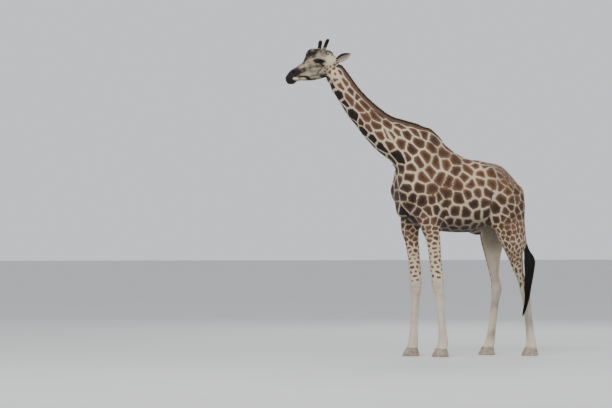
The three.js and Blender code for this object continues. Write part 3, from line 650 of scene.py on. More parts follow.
def stretch(p, share):
    """How patches are drawn out: distance is measured less along their long axis."""

    def drawn(axis, amount):
        axis = np.array(axis, float)
        return np.eye(3) - (1 - amount**2) * np.outer(axis, axis)

    kinds = [drawn((0.93, 0, 0.37), 0.85), drawn((-0.686, 0, 0.728), 0.62), np.eye(3),
             np.diag((0.4624, 0.4624, 1.0)), drawn((0.1, 0, 0.995), 0.8), np.diag((0.7, 0.7, 1.0))]
    found = np.einsum("ni,ijk->njk", share, np.array(kinds))
    rear = (share[:, 2] * croup(p))[:, None, None]
    return found * (1 - rear) + rear * drawn((0.66, 0, -0.75), 0.42)


def spacing(p, share):
    """Distance from one growing point to the next."""
    trunk = 150 - 30 * step(1850, 1650, p[:, 2]) - 88 * croup(p) - 45 * step(1000, 1280, p[:, 0])
    neck = 106 - 20 * step(600, 1350, measured(neck_axis, p)[0])
    fore = 58 - 10 * step(1650, 1150, p[:, 2])
    hind = 56 - 14 * step(1700, 1300, p[:, 2])
    each = np.stack([np.full(len(p), 31.0), neck, trunk, fore, hind, np.full(len(p), 40.0)], 1)
    return (each * share).sum(1)


def line_half_width(p, share):
    """Half the width of the pale lines, growing until no patch is left below the knees."""
    trunk = 12 - 5 * croup(p) - 5.5 * step(960, 1250, p[:, 0])
    neck = 10.5 + 1.5 * step(700, 1200, measured(neck_axis, p)[0])
    z = p[:, 2]
    fore = 7 + 3 * step(1600, 1350, z) + 3 * step(1350, 1150, z)
    fore = fore + 6 * step(1120, 960, z) + 500 * step(960, 850, z)
    hind = 5.5 + 1.5 * step(1600, 1400, z) + 3 * step(1300, 1100, z)
    hind = hind + 6 * step(1050, 900, z) + 500 * step(880, 780, z)
    each = np.stack([np.full(len(p), 6.5), neck, trunk, fore, hind, np.full(len(p), 6.0)], 1)
    return (each * share).sum(1)


left = np.array(left_points + crease_shade_points, float) * 10
twinned = left[np.abs(left[:, 1]) > 25] * (1, -1, 1)
twinned[:, [0, 2]] += dice.normal(0, 16, (len(twinned), 2))
throat = np.array(throat_points, float) * 10
inner = np.array(inner_points, float) * 10
seeds = np.concatenate([throat, throat * (1, -1, 1), left, twinned, inner])
known = np.zeros(len(seeds), bool)
known[:2 * len(throat)] = True
known[2 * len(throat) + len(left_points):2 * len(throat) + len(left)] = True
share = regions(hide)
wanted = spacing(hide, share)
frames = stretch(hide, share)
order = dice.permutation(np.nonzero(hide[:, 2] > 880)[0])[:30000]
store, rooms = np.zeros((6000, 3)), np.zeros(6000)
count = len(seeds)
store[:count] = seeds
rooms[:count] = spacing(seeds, regions(seeds))
for n in order:
    away = store[:count] - hide[n]
    near = np.sqrt(np.einsum("ni,ij,nj->n", away, frames[n], away))
    if np.all(near > 0.43 * (rooms[:count] + wanted[n])):
        store[count], rooms[count] = hide[n], wanted[n]
        count += 1
dark = np.concatenate([known, np.zeros(count - len(seeds), bool)])
seeds = store[:count]
family = np.arange(count)
family[len(throat):2 * len(throat)] = np.arange(len(throat))
bonus = np.zeros(count)
bonus[:2 * len(throat)] = np.tile(throat_reach, 2) ** 2
seed_tone = dice.uniform(-1, 1, count)


def wander(p, reach, scale, seed):
    """A gentle wandering of points, so that no border is ruler-straight."""
    waves = np.random.default_rng(seed).normal(size=(3, 5, 3)) / scale
    phase = np.random.default_rng(seed + 1).uniform(0, 6.28, (3, 5))
    swing = [np.sin(p @ waves[m].T + phase[m]).sum(1) for m in range(3)]
    return p + reach * np.stack(swing, 1) / 2


def cloud(p, scale, seed):
    """A soft unevenness from place to place, round 0."""
    return wander(p, 1.0, scale, seed)[:, 0] - p[:, 0]


def markings(p, share):
    """How deep each point lies inside its patch (mm), and that patch's own number."""
    depth, owner = np.empty(len(p)), np.empty(len(p), int)
    bent = wander(p, 5.0, 55.0, 3)
    for first in range(0, len(p), 8000):
        q = bent[first:first + 8000]
        frames = stretch(q, share[first:first + 8000])
        square = (q**2).sum(1)[:, None] - 2 * q @ seeds.T + (seeds**2).sum(1)[None, :]
        nearest = np.argpartition(square, 14, axis=1)[:, :14]
        away = q[:, None, :] - seeds[nearest]
        found = np.einsum("nmi,nij,nmj->nm", away, frames, away) - bonus[nearest]
        turn = np.argsort(found, axis=1)[:, :8]
        nearest, found = np.take_along_axis(nearest, turn, 1), np.take_along_axis(found, turn, 1)
        twin = family[nearest] == family[nearest[:, :1]]
        twin[:, 0] = False
        between = seeds[nearest[:, 1:]] - seeds[nearest[:, :1]]
        between = np.linalg.norm(np.einsum("nmi,nij->nmj", between, frames), axis=2)
        border = (found[:, 1:] - found[:, :1]) / (2 * np.maximum(between, 1)) + 400 * twin[:, 1:]
        soft = 0.035 * np.maximum(between[:, 0], 40)
        border = -soft * np.log(np.exp(-border / soft[:, None]).sum(1))
        depth[first:first + 8000] = border
        owner[first:first + 8000] = nearest[:, 0]
    return depth - line_half_width(p, share) * (1 + 0.3 * cloud(p, 120.0, 9)), owner


# Light and dark of the face: station and height along the head, two radii,
# slope of the longer one, and how much it darkens; below 0 it lightens.
face_marks = [
    (42, 23, 68, 74, -22, 1.05), (129, 43, 84, 62, 3, 0.42), (198, 29, 60, 36, -2, 0.42),
    (77, -49, 60, 24, -17, 1.00), (112, -16, 32, 15, -17, -1.90), (94, 63, 31, 18, 18, 0.70),
    (177, 94, 105, 26, 11, 0.40), (280, 89, 55, 21, 0, -0.22), (306, 29, 92, 25, -8, 0.34),
    (438, 19, 72, 24, -18, 0.36), (372, 43, 39, 24, -2, 0.20), (235, -39, 58, 12, -22, 0.75),
    (217, -58, 29, 12, -18, -0.80), (277, -78, 34, 13, -44, 0.70), (333, -114, 85, 15, -20, 0.60),
    (150, -46, 42, 11, -14, 0.25), (355, 182, 105, 26, 46, 0.45), (430, 205, 75, 60, 8, 0.36),
    (500, 190, 85, 55, -14, 0.36), (390, 150, 60, 40, 20, 0.16), (543, 210, 52, 36, -12, 0.30),
    (650, 152, 26, 12, -20, 1.00), (677, 118, 26, 12, -55, 0.95), (668, 84, 18, 10, -10, 0.75),
    (640, 112, 16, 10, 30, 0.65), (690, 64, 16, 10, -60, 0.55), (605, 140, 22, 14, 10, 0.50),
    (585, 110, 16, 10, 0, 0.35), (575, 175, 40, 30, -20, 0.25), (455, 128, 52, 12, -6, -0.25),
    (477, 74, 48, 24, -28, 1.90), (432, 98, 26, 10, -30, 0.40), (485, 72, 70, 42, -25, 0.20),
    (548, 37, 26, 13, -42, 0.60), (613, 55, 50, 26, -30, -0.20), (455, -30, 26, 13, 18, 0.60),
    (412, -53, 31, 11, 38, 0.28), (469, -114, 50, 34, -37, 0.50), (518, -178, 47, 26, -67, 0.45),
    (675, -49, 34, 21, -12, 0.50), (345, -70, 60, 9, -12, 0.28), (385, -20, 50, 9, -8, 0.26),
    (240, 62, 60, 10, 4, 0.25), (120, 10, 16, 30, 0, 0.45), (500, 12, 30, 9, -50, 0.45),
    (350, 75, 70, 10, -4, 0.22), (60, 20, 22, 34, -10, 0.50), (55, -35, 30, 20, -10, 0.40),
]


# Painted shade along creases of both sides: strength, reach and line.
shade_creases = [
    (1.0, 17, [(981, 323, 2140), (963, 333, 2041), (950, 333, 1939), (943, 316, 1836),
               (930, 278, 1734)]),
    (1.35, 19, [(-185, 113, 1905), (-131, 124, 1835), (-54, 100, 1771), (17, 52, 1708)]),
    (0.75, 26, [(338, 340, 2075), (350, 345, 1985), (340, 340, 1930)]),
    (0.5, 12, [(-1090, 60, 3480), (-1150, 75, 3560), (-1180, 95, 3640)]),
]


def coat_values(p, normal, share, rim):
    """Edge (m inside a patch), patch tone, paleness and darkness at points of the coat."""
    edge, owner = markings(p, share)
    s, v = measured(head_axis, p)
    head = step(0.2, 0.6, share[:, 0]) * step(790, 700, s)
    # Face: small spots only on cheek, poll and behind the eye.
    spotted = np.maximum(step(430, 500, s) * step(30, -20, v), step(640, 690, s))
    spotted = np.maximum(spotted, step(560, 600, s) * step(80, 110, v))
    edge = edge - 60 * head * (1 - spotted)
    dusk = 0.48 * step(0.1, 0.5, share[:, 0]) * step(620, 500, s)
    for along, up, long, short, slope, amount in face_marks:
        a, b = turned(s - along, v - up, slope)
        dusk = dusk + amount * np.exp(-(((a / long) ** 2 + (b / short) ** 2) ** 1.2))
    dusk = dusk * step(0.05, 0.3, share[:, 0] + 0.6 * (s < 900) * share[:, 1])
    dusk = dusk * (1 + 0.2 * np.clip(cloud(p, 17.0, 33), -1.5, 1.5))
    for base, tip in horns.values():
        t = np.clip((p - base) @ (tip - base) / horn_square, 0, 1)
        off = np.linalg.norm(p - base - t[:, None] * (tip - base), axis=1)
        dusk = np.maximum(dusk, 0.8 * np.exp(-((off / 62) ** 4)))
    # Folds of skin gather shade and dust.
    # Painted shade in the folds of skin.
    folded = right_side(p)
    for strength, reach, line in shade_creases:
        for start, end in zip(line, line[1:]):
            run, gone = np.subtract(end, start), folded - start
            t = np.clip(gone @ run / (run**2).sum(), 0, 1)[:, None]
            away = np.linalg.norm((gone - t * run) * (1, 0.25, 1), axis=1)
            dusk = np.maximum(dusk, strength * np.exp(-((away / reach) ** 2)))
    on_top = np.maximum(croup(p), step(0.8, 0.97, normal[:, 2]))
    dusk = np.maximum(dusk, 0.36 * share[:, 2] * on_top)
    # Shanks and feet: mottled painted shade, slight on the forelegs and deeper on the hind legs,
    # which are also darker from the lower shank up to the thigh.
    z = p[:, 2]
    shank_shade = 0.07 * share[:, 3] * step(1050, 850, z) + 0.28 * share[:, 4] * step(1200, 900, z)
    dusk = dusk + np.maximum(shank_shade * (1 + 0.8 * cloud(p, 70.0, 31)), 0) * step(120, 300, z)
    dusk = np.maximum(dusk, 0.27 * share[:, 4] * step(1650, 1350, z) * step(150, 700, z))
    # Painted shade: the lower trunk darker towards the belly, darkest on its underside.
    underside_shade = step(0.1, -0.7, normal[:, 2]) * step(1900, 1650, z)
    shaded = 0.16 * step(2350, 2000, z) + 0.10 * step(1950, 1650, z) + 0.42 * underside_shade
    dusk = np.maximum(dusk, share[:, 2] * shaded)
    # Stockings below knee and hock, plain inner thighs, with painted shade high on the inner
    # thighs.
    pale = (share[:, 3] + share[:, 4]) * step(1250, 800, z)
    inward = step(0.1, 0.7, -np.sign(p[:, 1]) * normal[:, 1]) * step(2000, 1600, z)
    inward = inward * step(0.2, 0.5, share[:, 4])
    dusk = dusk + 0.6 * inward * step(1250, 1650, z)
    edge = edge - 60 * inward
    pale = np.maximum(pale, 0.6 * inward)
    # Ears: white hair inside, greyed all over, with a dark upper rim and root; the dark of the
    # upper fold and the root is partly painted shade.
    ear = np.abs(rim) > 0
    edge = np.where(ear, -20, edge)
    pale = np.where(ear, 0.5, pale)
    ear_dusk = 0.42 + 0.22 * step(-0.75, -0.2, rim) + 0.4 * step(0.05, 0.6, rim)
    dusk = np.where(ear, ear_dusk, dusk)
    # Patches are darkest low on the body, there partly as painted shade, on the chest and along
    # the front of the neck.
    low_neck = share[:, 1] * step(0.3, 1.0, -normal[:, 0] * 0.73 - normal[:, 2] * 0.69)
    low_body_and_shade = share[:, 2] * (0.5 * step(2150, 1650, z) + 0.25 * step(60, -220, p[:, 0]))
    # Darkest of all: the black throat patches, and the patch of painted shade in the chest crease.
    deep = np.clip(0.75 * low_neck + low_body_and_shade, 0, 0.8) + 0.6 * dark[owner]
    deep = deep + 0.9 * step(50, 85, v) * step(585, 610, s) * step(760, 710, s)
    high = share[:, 2] * (0.12 * step(2100, 2400, z) + 0.2 * croup(p))
    return {
        "edge": edge * 0.001,
        "tone": np.clip(0.30 + 0.12 * seed_tone[owner] + 0.7 * deep - high, 0, 1),
        "pale": np.clip(pale, 0, 1),
        "dusk": np.clip(dusk, 0, 1.5),
    }


def add_values(piece, values):
    for name, numbers in values.items():
        layer = piece.data.attributes.new(name, "FLOAT", "POINT")
        layer.data.foreach_set("value", np.asarray(numbers, np.float32))


add_values(hide_piece, coat_values(hide, hide_normals, share, ear_rims))
add_values(hide_piece, {"lock": np.full(len(hide), 0.5)})


class Maths:
    """An output of a shader node that takes part in plain arithmetic."""

    def __init__(self, finish, socket):
        self.finish = finish
        self.socket = socket

    def paired(self, operation, first, second):
        settings = {"operation": operation}
        return self.finish.node("ShaderNodeMath", settings, {0: first, 1: second})

    def __add__(self, other):
        return self.paired("ADD", self, other)

    def __sub__(self, other):
        return self.paired("SUBTRACT", self, other)

    def __rsub__(self, other):
        return self.paired("SUBTRACT", other, self)

    def __mul__(self, other):
        return self.paired("MULTIPLY", self, other)

    __radd__, __rmul__ = __add__, __mul__


class Finish:
    """A material and the one way in which its nodes are made."""

    def __init__(self, name, **constants):
        self.material = bpy.data.materials.new(name)
        self.material.use_nodes = True
        self.tree = self.material.node_tree
        self.shader = self.tree.nodes["Principled BSDF"]
        for key, value in constants.items():
            self.shader.inputs[key.replace("_", " ")].default_value = value

    def node(self, kind, settings, sockets, output=0):
        made = self.tree.nodes.new(kind)
        for key, value in settings.items():
            setattr(made, key, value)
        for key, value in sockets.items():
            if isinstance(value, Maths):
                self.tree.links.new(value.socket, made.inputs[key])
            else:
                made.inputs[key].default_value = value
        return Maths(self, made.outputs[output])

    def mixed(self, factor, a, b):
        settings = {"data_type": "RGBA"}
        return self.node("ShaderNodeMix", settings, {0: factor, 6: a, 7: b}, 2)

    def stepped(self, value, low, high):
        settings = {"interpolation_type": "SMOOTHSTEP"}
        return self.node("ShaderNodeMapRange", settings, {0: value, 1: low, 2: high})

    def layer(self, name):
        return self.node("ShaderNodeAttribute", {"attribute_name": name}, {}, 2)

    def noise(self, scale, detail=2.0, roughness=0.5, stretch=(1, 1, 1)):
        place = self.node("ShaderNodeTexCoord", {}, {}, 3)
        place = self.node("ShaderNodeMapping", {}, {0: place, 3: stretch})
        sockets = {"Vector": place, "Scale": scale, "Detail": detail, "Roughness": roughness}
        return self.node("ShaderNodeTexNoise", {}, sockets)

    def bump(self, height, distance, strength=1.0):
        sockets = {"Strength": strength, "Distance": distance, "Height": height}
        return self.node("ShaderNodeBump", {}, sockets)

    def put(self, **sockets):
        for key, value in sockets.items():
            self.tree.links.new(value.socket, self.shader.inputs[key.replace("_", " ")])
        return self.material


def tint(r, g, b):
    """A colour named by its everyday 0 to 255 shades."""
    linear = [((c / 255 + 0.055) / 1.055) ** 2.4 if c > 10 else c / 255 / 12.92 for c in (r, g, b)]
    return (*linear, 1)


def dressed(piece, finish, slot, *nodes):
    """Gives a piece its finish and its place on the standing body."""
    piece.data.materials.append(finish.material)
    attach(piece, "root")
    if nodes:
        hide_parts(*nodes)


coat = Finish("coat", Specular_IOR_Level=0.25, Sheen_Weight=0.1, Sheen_Roughness=0.5)
fleck = coat.noise(160, 3, 0.6)
drift = coat.noise(9, 3, 0.55)
wisp = coat.noise(60, 2, 0.6)
edge = coat.layer("edge") + (wisp - 0.5) * 0.006 + (fleck - 0.5) * 0.003
mask = coat.stepped(edge, -0.0022, 0.0022)
heart = coat.stepped(edge + (drift - 0.5) * 0.03, 0.002, 0.045)
tone = coat.layer("tone")
brown = coat.mixed(coat.stepped(tone, 0, 0.6), tint(136, 99, 71), tint(90, 62, 45))
brown = coat.mixed(coat.stepped(tone, 0.6, 1), brown, tint(38, 27, 21))
dark_heart = coat.mixed(coat.stepped(tone, 0, 0.6), tint(86, 59, 41), tint(42, 29, 22))
dark_heart = coat.mixed(coat.stepped(tone, 0.6, 1), dark_heart, tint(22, 17, 14))
brown = coat.mixed(heart, brown, dark_heart)
cream = coat.mixed(coat.layer("pale"), tint(219, 203, 175), tint(222, 211, 190))
cream = coat.mixed(coat.stepped(drift, 0.35, 0.75) * 0.45, cream, tint(192, 170, 138))
colour = coat.mixed(mask, cream, brown)
# Darkening toward a mottled dusky brown-black and near-black: the own dark colour of face and
# horns, and painted shade in creases, under the belly, on the inner thighs and the hind legs.
mottle = coat.stepped(drift + (fleck - 0.5) * 0.4, 0.35, 0.7)
dusky = coat.mixed(mottle, tint(52, 40, 33), tint(20, 16, 14))
dusk = coat.layer("dusk")
colour = coat.mixed(dusk * (0.8 + 0.4 * wisp) + (wisp - 0.5) * 0.06, colour, dusky)
colour = coat.mixed(coat.stepped(dusk, 1.0, 1.35), colour, tint(12, 10, 9))
shade = coat.stepped(fleck, 0.3, 0.75)
colour = coat.mixed(shade * 0.10 + coat.layer("lock") * 0.16, colour, tint(60, 44, 32))
hair = coat.noise(420, 2, 0.5, (1, 1, 0.35))
coat.put(
    Base_Color=colour,
    Roughness=0.62 + 0.25 * fleck,
    Normal=coat.bump(hair, 0.0035, 0.45),
)
dressed(
    hide_piece, coat, "coat", "head", "neck", "trunk", "tail", "ear_left", "ear_right",
    "foreleg_left", "foreleg_right", "hindleg_left", "hindleg_right",
)

# ---------------------------------------------------------------------------
# The coat: short flat hair in pointed tufts that overlap like thatch, lying
# back over the face, down the neck, back and down over the body and straight
# down the legs; each tuft carries the marking of the skin it grows from.
# ---------------------------------------------------------------------------


def lie(p, normal, share):
    """Direction in which the hair lies, along the surface."""
    high = step(0.2, 0.9, normal[:, 2])[:, None]
    trunk = np.array((0.72, 0, -0.69)) * (1 - high) + np.array((0.95, 0, -0.1)) * high
    ways = [(0.93, 0, 0.2), (0.69, 0, -0.73), None, (0.05, 0, -1), (0.15, 0, -1), (0, 0, -1)]
    total = np.zeros_like(p)
    for n, way in enumerate(ways):
        total += share[:, n:n + 1] * (trunk if way is None else np.array(way))
    return across_to(total, normal)


def on_hide(faces, dice):
    """Random places on given faces: point, smooth normal, place in the flat layout, ear rim."""
    u, v = dice.random(len(faces)), dice.random(len(faces))
    weight = np.stack([(1 - u) * (1 - v), u * (1 - v), u * v, (1 - u) * v], 1)[..., None]
    corners = hide_quads[faces]
    rim = (ear_rims[corners] * weight[..., 0]).sum(1)
    layers = hide[corners], hide_normals[corners], hide_uv[faces]
    point, normal, uv = ((layer * weight).sum(1) for layer in layers)
    return point, unit(normal), uv, rim


def add_tufts(name, root, normal, way, length, width, lift, uv, values, thick=0.14, shade=None):
    """Pointed tufts of hair: a three-cornered root sunk in the skin, and one tip."""
    across = unit(np.cross(normal, way))
    w, l = width[:, None], length[:, None]
    rise = np.sin(lift)[:, None] * normal + np.cos(lift)[:, None] * way
    base = root - 1.0 * normal
    ridge = root + thick * w * normal + 0.12 * l * way
    rings = [base - 0.5 * w * across, base + 0.5 * w * across, ridge, root + l * rise]
    points = np.stack(rings, 1).reshape(-1, 3)
    shape = np.array([(0, 2, 1), (0, 3, 2), (1, 2, 3), (0, 1, 3)])
    faces = (np.arange(len(root))[:, None, None] * 4 + shape).reshape(-1, 3)
    piece = new_mesh(name, points, faces)
    patch = uv[:, None, :] + 0.0015 * np.array([(-1, -1), (1, -1), (0, -0.5), (0, 1)])
    flat = np.clip(patch.reshape(-1, 2)[faces.ravel()], 0, 1).astype(np.float32)
    piece.data.uv_layers.new(name="OFBake").data.foreach_set("uv", flat.ravel())
    add_values(piece, {key: np.repeat(v, 4) for key, v in values.items()})
    soft = np.repeat(normal if shade is None else shade, 4, axis=0)
    piece.data.normals_split_custom_set_from_vertices(soft.astype(np.float32))
    return piece


def plain(edge, dusk, lock=0.5, pale=0.0):
    """Coat values of hair that has no patches."""
    values = {"edge": edge, "tone": 0, "pale": pale, "dusk": dusk, "lock": lock}
    return {key: np.zeros(len(dusk)) + value for key, value in values.items()}


quad_points = hide[hide_quads]
diagonals = np.cross(quad_points[:, 2] - quad_points[:, 0], quad_points[:, 3] - quad_points[:, 1])
quad_area = 0.5 * np.linalg.norm(diagonals, axis=1)
quad_centre = quad_points.mean(1)
quad_share = regions(quad_centre)
at_ear = hide_quads[:, 0] >= ear_start
bare_round_eye, hoof_line = 31.5, 112
# Piece, region, side, distance between roots, tuft length, width (mm), lift.
coverings = [
    ("coat_head", 0, 0, 5.0, 10, 2.6, 0.13),
    ("coat_neck", 1, 0, 8.2, 21, 4.2, 0.13),
    ("coat_trunk_left", 2, -1, 9.8, 25, 5.0, 0.11),
    ("coat_trunk_right", 2, 1, 9.8, 25, 5.0, 0.11),
    ("coat_forelegs", 3, 0, 7.6, 15, 3.8, 0.11),
    ("coat_hindlegs", 4, 0, 7.8, 16, 3.8, 0.11),
    ("coat_tail", 5, 0, 7.0, 15, 3.4, 0.13),
    ("coat_ears", 6, 0, 4.2, 10, 2.4, 0.16),
]
leading = np.where(at_ear, 6, quad_share.argmax(1))
for name, region, flank, apart_by, length, width, lift in coverings:
    mine = (leading == region) & (flank * quad_centre[:, 1] >= 0)
    chance = quad_area * mine / apart_by**2
    many = np.repeat(np.arange(len(chance)), dice.poisson(chance))
    found = on_hide(many, dice)
    clear = np.linalg.norm(right_side(found[0]) - eye, axis=1) > bare_round_eye
    clear &= found[0][:, 2] > hoof_line
    root, normal, uv, rim = (values[clear] for values in found)
    own = regions(root)
    way = lie(root, normal, own)
    if region == 6:
        way = across_to(ear_ways[(root[:, 1] > 0) * 1], normal)
    way = across_to(way + 0.14 * dice.normal(size=way.shape), normal)
    size = dice.uniform(0.75, 1.2, len(root))
    if region == 0:
        along, _ = measured(head_axis, root)
        size *= 0.55 + 0.45 * step(60, 420, along)
    if region in (3, 4):
        size *= 0.6 + 0.4 * step(200, 900, root[:, 2])
    values = coat_values(root, normal, own, rim)
    values["lock"] = dice.uniform(0, 1, len(root))
    piece = add_tufts(
        name, root, normal, way, length * size, width * dice.uniform(0.8, 1.2, len(root)),
        lift + dice.uniform(-0.04, 0.09, len(root)), uv, values)
    dressed(piece, coat, "coat")

# Long pale hair fringes the hollow of each ear.
lower_rim = ear_rims[hide_quads].mean(1) < -0.5
for flank, outward, (name, (root, tip, _)) in zip((-1, 1), ear_ways, ears.items()):
    mine = np.nonzero(at_ear & (quad_centre[:, 1] * flank > 0) & lower_rim)[0]
    found = on_hide(dice.choice(mine, 420), dice)
    root, tip = np.array(root), np.array(tip)
    far = (found[0] - root) @ outward / 235
    keep = (far > 0.06) & (far < 0.85)
    start, normal, uv, _ = (values[keep] for values in found)
    inward = across_to(root + far[keep][:, None] * (tip - root) - start, normal)
    way = unit(0.5 * inward + 0.9 * outward + 0.1 * dice.normal(size=inward.shape))
    n = len(start)
    fringe = add_tufts(
        "ear_fringe_" + name, start, normal, way, dice.uniform(14, 26, n), np.full(n, 1.8),
        dice.uniform(0.05, 0.35, n), uv, plain(-0.02, np.full(n, 0.1), pale=0.9))
    dressed(fringe, coat, "coat")

# ---------------------------------------------------------------------------
# Eyes: large dark globes set in the sides of the head under a bony brow, with
# a wide level pupil, a wet clear front, and long black lashes on the upper lid.
# ---------------------------------------------------------------------------
globe_rings, globe_turns = 28, 40
for side, name in ((-1, "eye_left"), (1, "eye_right")):
    polar = np.linspace(0, math.pi, globe_rings + 2)[1:-1][:, None]
    turn = np.linspace(0, 2 * math.pi, globe_turns, endpoint=False)[None, :]
    bulge = 1 + 0.05 * np.exp(-((polar / 0.5) ** 4))
    out = np.cos(polar) * bulge * np.ones_like(turn)
    globe = np.stack([np.sin(polar) * np.cos(turn), side * out, np.sin(polar) * np.sin(turn)], -1)
    ends = np.array([[0, side * 1.05, 0], [0, -side, 0]])
    globe = np.concatenate([globe.reshape(-1, 3), ends]) * (eye_radius - 0.6) + eye * (1, side, 1)
    ring = np.arange(globe_turns)
    after, last = (ring + 1) % globe_turns, (globe_rings - 1) * globe_turns
    top = np.stack([np.full(globe_turns, len(globe) - 2), after, ring], 1)
    bottom = np.stack([np.full(globe_turns, len(globe) - 1), last + ring, last + after], 1)
    faces = np.concatenate([halved(round_the(globe_rings, globe_turns)), top, bottom])
    piece = new_mesh(name + "_globe", globe, faces[:, ::side])
    x, y, z = (globe - eye * (1, side, 1)).T / eye_radius
    behind = 3 * (side * y < 0)
    pupil, iris = np.hypot(x / 0.42, z / 0.24) + behind, np.hypot(x, z) + behind
    add_values(piece, {"pupil": pupil, "iris": iris})
    wet = Finish(
        name, Roughness=0.12, Coat_Weight=0.1, Coat_Roughness=0.03, Specular_IOR_Level=0.2)
    iris = wet.mixed(wet.stepped(wet.layer("iris"), 0.42, 0.7), tint(30, 18, 11), tint(10, 7, 6))
    outside_pupil = wet.stepped(wet.layer("pupil"), 0.9, 1.15)
    wet.put(Base_Color=wet.mixed(outside_pupil, tint(4, 3, 3), iris))
    dressed(piece, wet, "eye", name)

lash_black = Finish("lash", Roughness=0.5, Specular_IOR_Level=0.3)
streak = lash_black.noise(300)
lash_black.put(Base_Color=lash_black.mixed(streak, tint(14, 11, 9), tint(30, 24, 20)))
for side, name in ((-1, "lashes_left"), (1, "lashes_right")):
    t = dice.uniform(-1, 1, 150)
    a, b = (lid_half - 1) * t, (lid_high - 0.5) * (1 - t * t) + 1.0
    x, z = turned(a, b, -lid_slope)
    out = np.sqrt(np.maximum((eye_radius + 3) ** 2 - x * x - z * z, 9))
    root = eye * (1, side, 1) + np.stack([x, side * out, z], 1)
    way = unit(np.stack([0.35 * t, 0 * t + side * 0.9, 0 * t - 0.28], 1))
    normal = across_to(np.array((0.0, 0.25 * side, 0.97)), way)
    uv = np.stack([0.5 + 0.2 * t, 0.5 + 0 * t], 1)
    lashes = add_tufts(name, root, normal, way, dice.uniform(14, 22, len(t)),
                       0 * t + 1.1, 0 * t + 0.15, uv, {})
    dressed(lashes, lash_black, "black_hair")

# ---------------------------------------------------------------------------
# Ossicones: two skin-covered columns of bone above and behind the eyes, with
# blunt tips ringed by black hair.
# ---------------------------------------------------------------------------
horn_rows = table([
    (0, 36), (0.25, 29), (0.48, 21.5), (0.68, 18.5), (0.83, 20), (0.92, 18.5), (0.975, 12), (1, 2),
])
horn_rings, horn_turns = 44, 32


def closing(turns):
    """Triangles that close a ring of corners."""
    ring = np.arange(1, turns - 1)
    return np.stack([0 * ring, ring, ring + 1], 1)


for side, (base, tip) in horns.items():
    name = "ossicone_" + side
    tip_bend = 0.9 + 0.1 * np.sin(np.linspace(0.1, math.pi / 2, 10))
    t = np.concatenate([np.linspace(0, 0.9, 34), tip_bend])
    (radius,) = read(horn_rows, t)
    turn = np.linspace(0, 2 * math.pi, horn_turns, endpoint=False)
    knobs = 1 + 0.05 * np.sin(3 * turn + 9 * t[:, None]) * np.sin(6 * t)[:, None]
    r = radius[:, None] * knobs
    ring = base + t[:, None, None] * (tip - base)
    ring = ring + np.stack([r * np.cos(turn), r * np.sin(turn), -0.2 * r * np.cos(turn)], -1)
    faces = halved(round_the(horn_rings, horn_turns))
    fan = (horn_rings - 1) * horn_turns + closing(horn_turns)
    column = new_mesh(name + "_column", ring.reshape(-1, 3), np.concatenate([faces, fan]))
    add_values(column, plain(-0.01, np.repeat(0.75 + 0.5 * step(0.4, 0.65, t), horn_turns)))
    dressed(column, coat, "horn_skin", name)
    n = 3600
    t, turn = dice.uniform(0.2, 0.985, n), dice.uniform(0, 2 * math.pi, n)
    (radius,) = read(horn_rows, t)
    c, s = np.cos(turn), np.sin(turn)
    normal = unit(np.stack([c, s, 0.9 * step(0.85, 1.0, t)], 1))
    root = base + t[:, None] * (tip - base) + radius[:, None] * np.stack([c, s, -0.2 * c], 1)
    up = unit(tip - base)
    way = unit(up - (normal @ up)[:, None] * normal + 0.1 * dice.normal(size=normal.shape))
    black = step(0.4, 0.62, t)
    dusk = np.clip(0.72 + 0.6 * black + 0.08 * dice.normal(size=n), 0, 1.5)
    uv = np.stack([turn / (2 * math.pi), t], 1) * 0.9 + 0.05
    tufts = add_tufts(
        name + "_hair", root, normal, way, 9 + 7 * black, np.full(n, 2.6), 0.16 + 0.3 * black,
        uv, plain(-0.01, dusk, dice.uniform(0, 1, n)))
    dressed(tufts, coat, "horn_skin")

# ---------------------------------------------------------------------------
# Mane: a stiff upright brush of hair along the crest of the neck from the
# poll to the withers, brown with darker tips, all hairs of nearly one length.
# ---------------------------------------------------------------------------
mane_finish = Finish("mane_hair", Specular_IOR_Level=0.25)
strand = mane_finish.noise(220, 2, 0.6, (1, 1, 0.5))
streak = mane_finish.stepped(strand, 0.3, 0.7)
brown = mane_finish.mixed(streak, tint(128, 100, 78), tint(88, 66, 48))
tips = mane_finish.stepped(mane_finish.layer("tip") + (strand - 0.5) * 0.5, 0.5, 0.9)
mane_finish.put(
    Base_Color=mane_finish.mixed(tips, brown, tint(40, 30, 23)),
    Roughness=0.6 + 0.3 * strand,
)
skin_tree = BVHTree.FromPolygons([Vector(p) for p in hide], hide_quads.tolist())
mane_steps = 260
t = np.linspace(0, 1, mane_steps)
s = 1456 + (-330 - 1456) * t
low, high = read(neck_rows, s)[:2]
slope = np.radians(60 - 2 * t)
(x0, z0), along, across = neck_axis
v = (low + high) / 2
x, z = x0 + s * along[0] + v * across[0], z0 + s * along[1] + v * across[1]
start = np.stack([x, 0 * s, z], 1)
upward = np.stack([np.cos(slope), 0 * s, np.sin(slope)], 1)
crest = np.array([
    skin_tree.ray_cast(Vector(p + 900 * d), Vector(-d))[0] for p, d in zip(start, upward)])
rise = 70 * np.minimum.reduce([np.ones(mane_steps), 0.6 + 4 * t, 0.14 + 3.4 * (1 - t)])
n = 15000
pick = dice.uniform(0, mane_steps - 1.001, n)
i = pick.astype(int)
f = (pick - i)[:, None]
root = crest[i] * (1 - f) + crest[i + 1] * f
up = upward[i]
side = dice.uniform(-1, 1, n)
sideways = side[:, None] * (0, 1, 0)
back = unit(np.diff(crest, axis=0)[i])
root = root + 17 * sideways - up * (2.5 * side**2)[:, None]
length = rise[i] * (1 - 0.3 * side**2) * dice.uniform(0.86, 1.02, n)
way = up + 0.10 * back + 0.06 * sideways
way = unit(way + 0.06 * dice.normal(size=way.shape))
face = across_to((np.sign(side) + 0.001)[:, None] * (0, 1, 0), way)
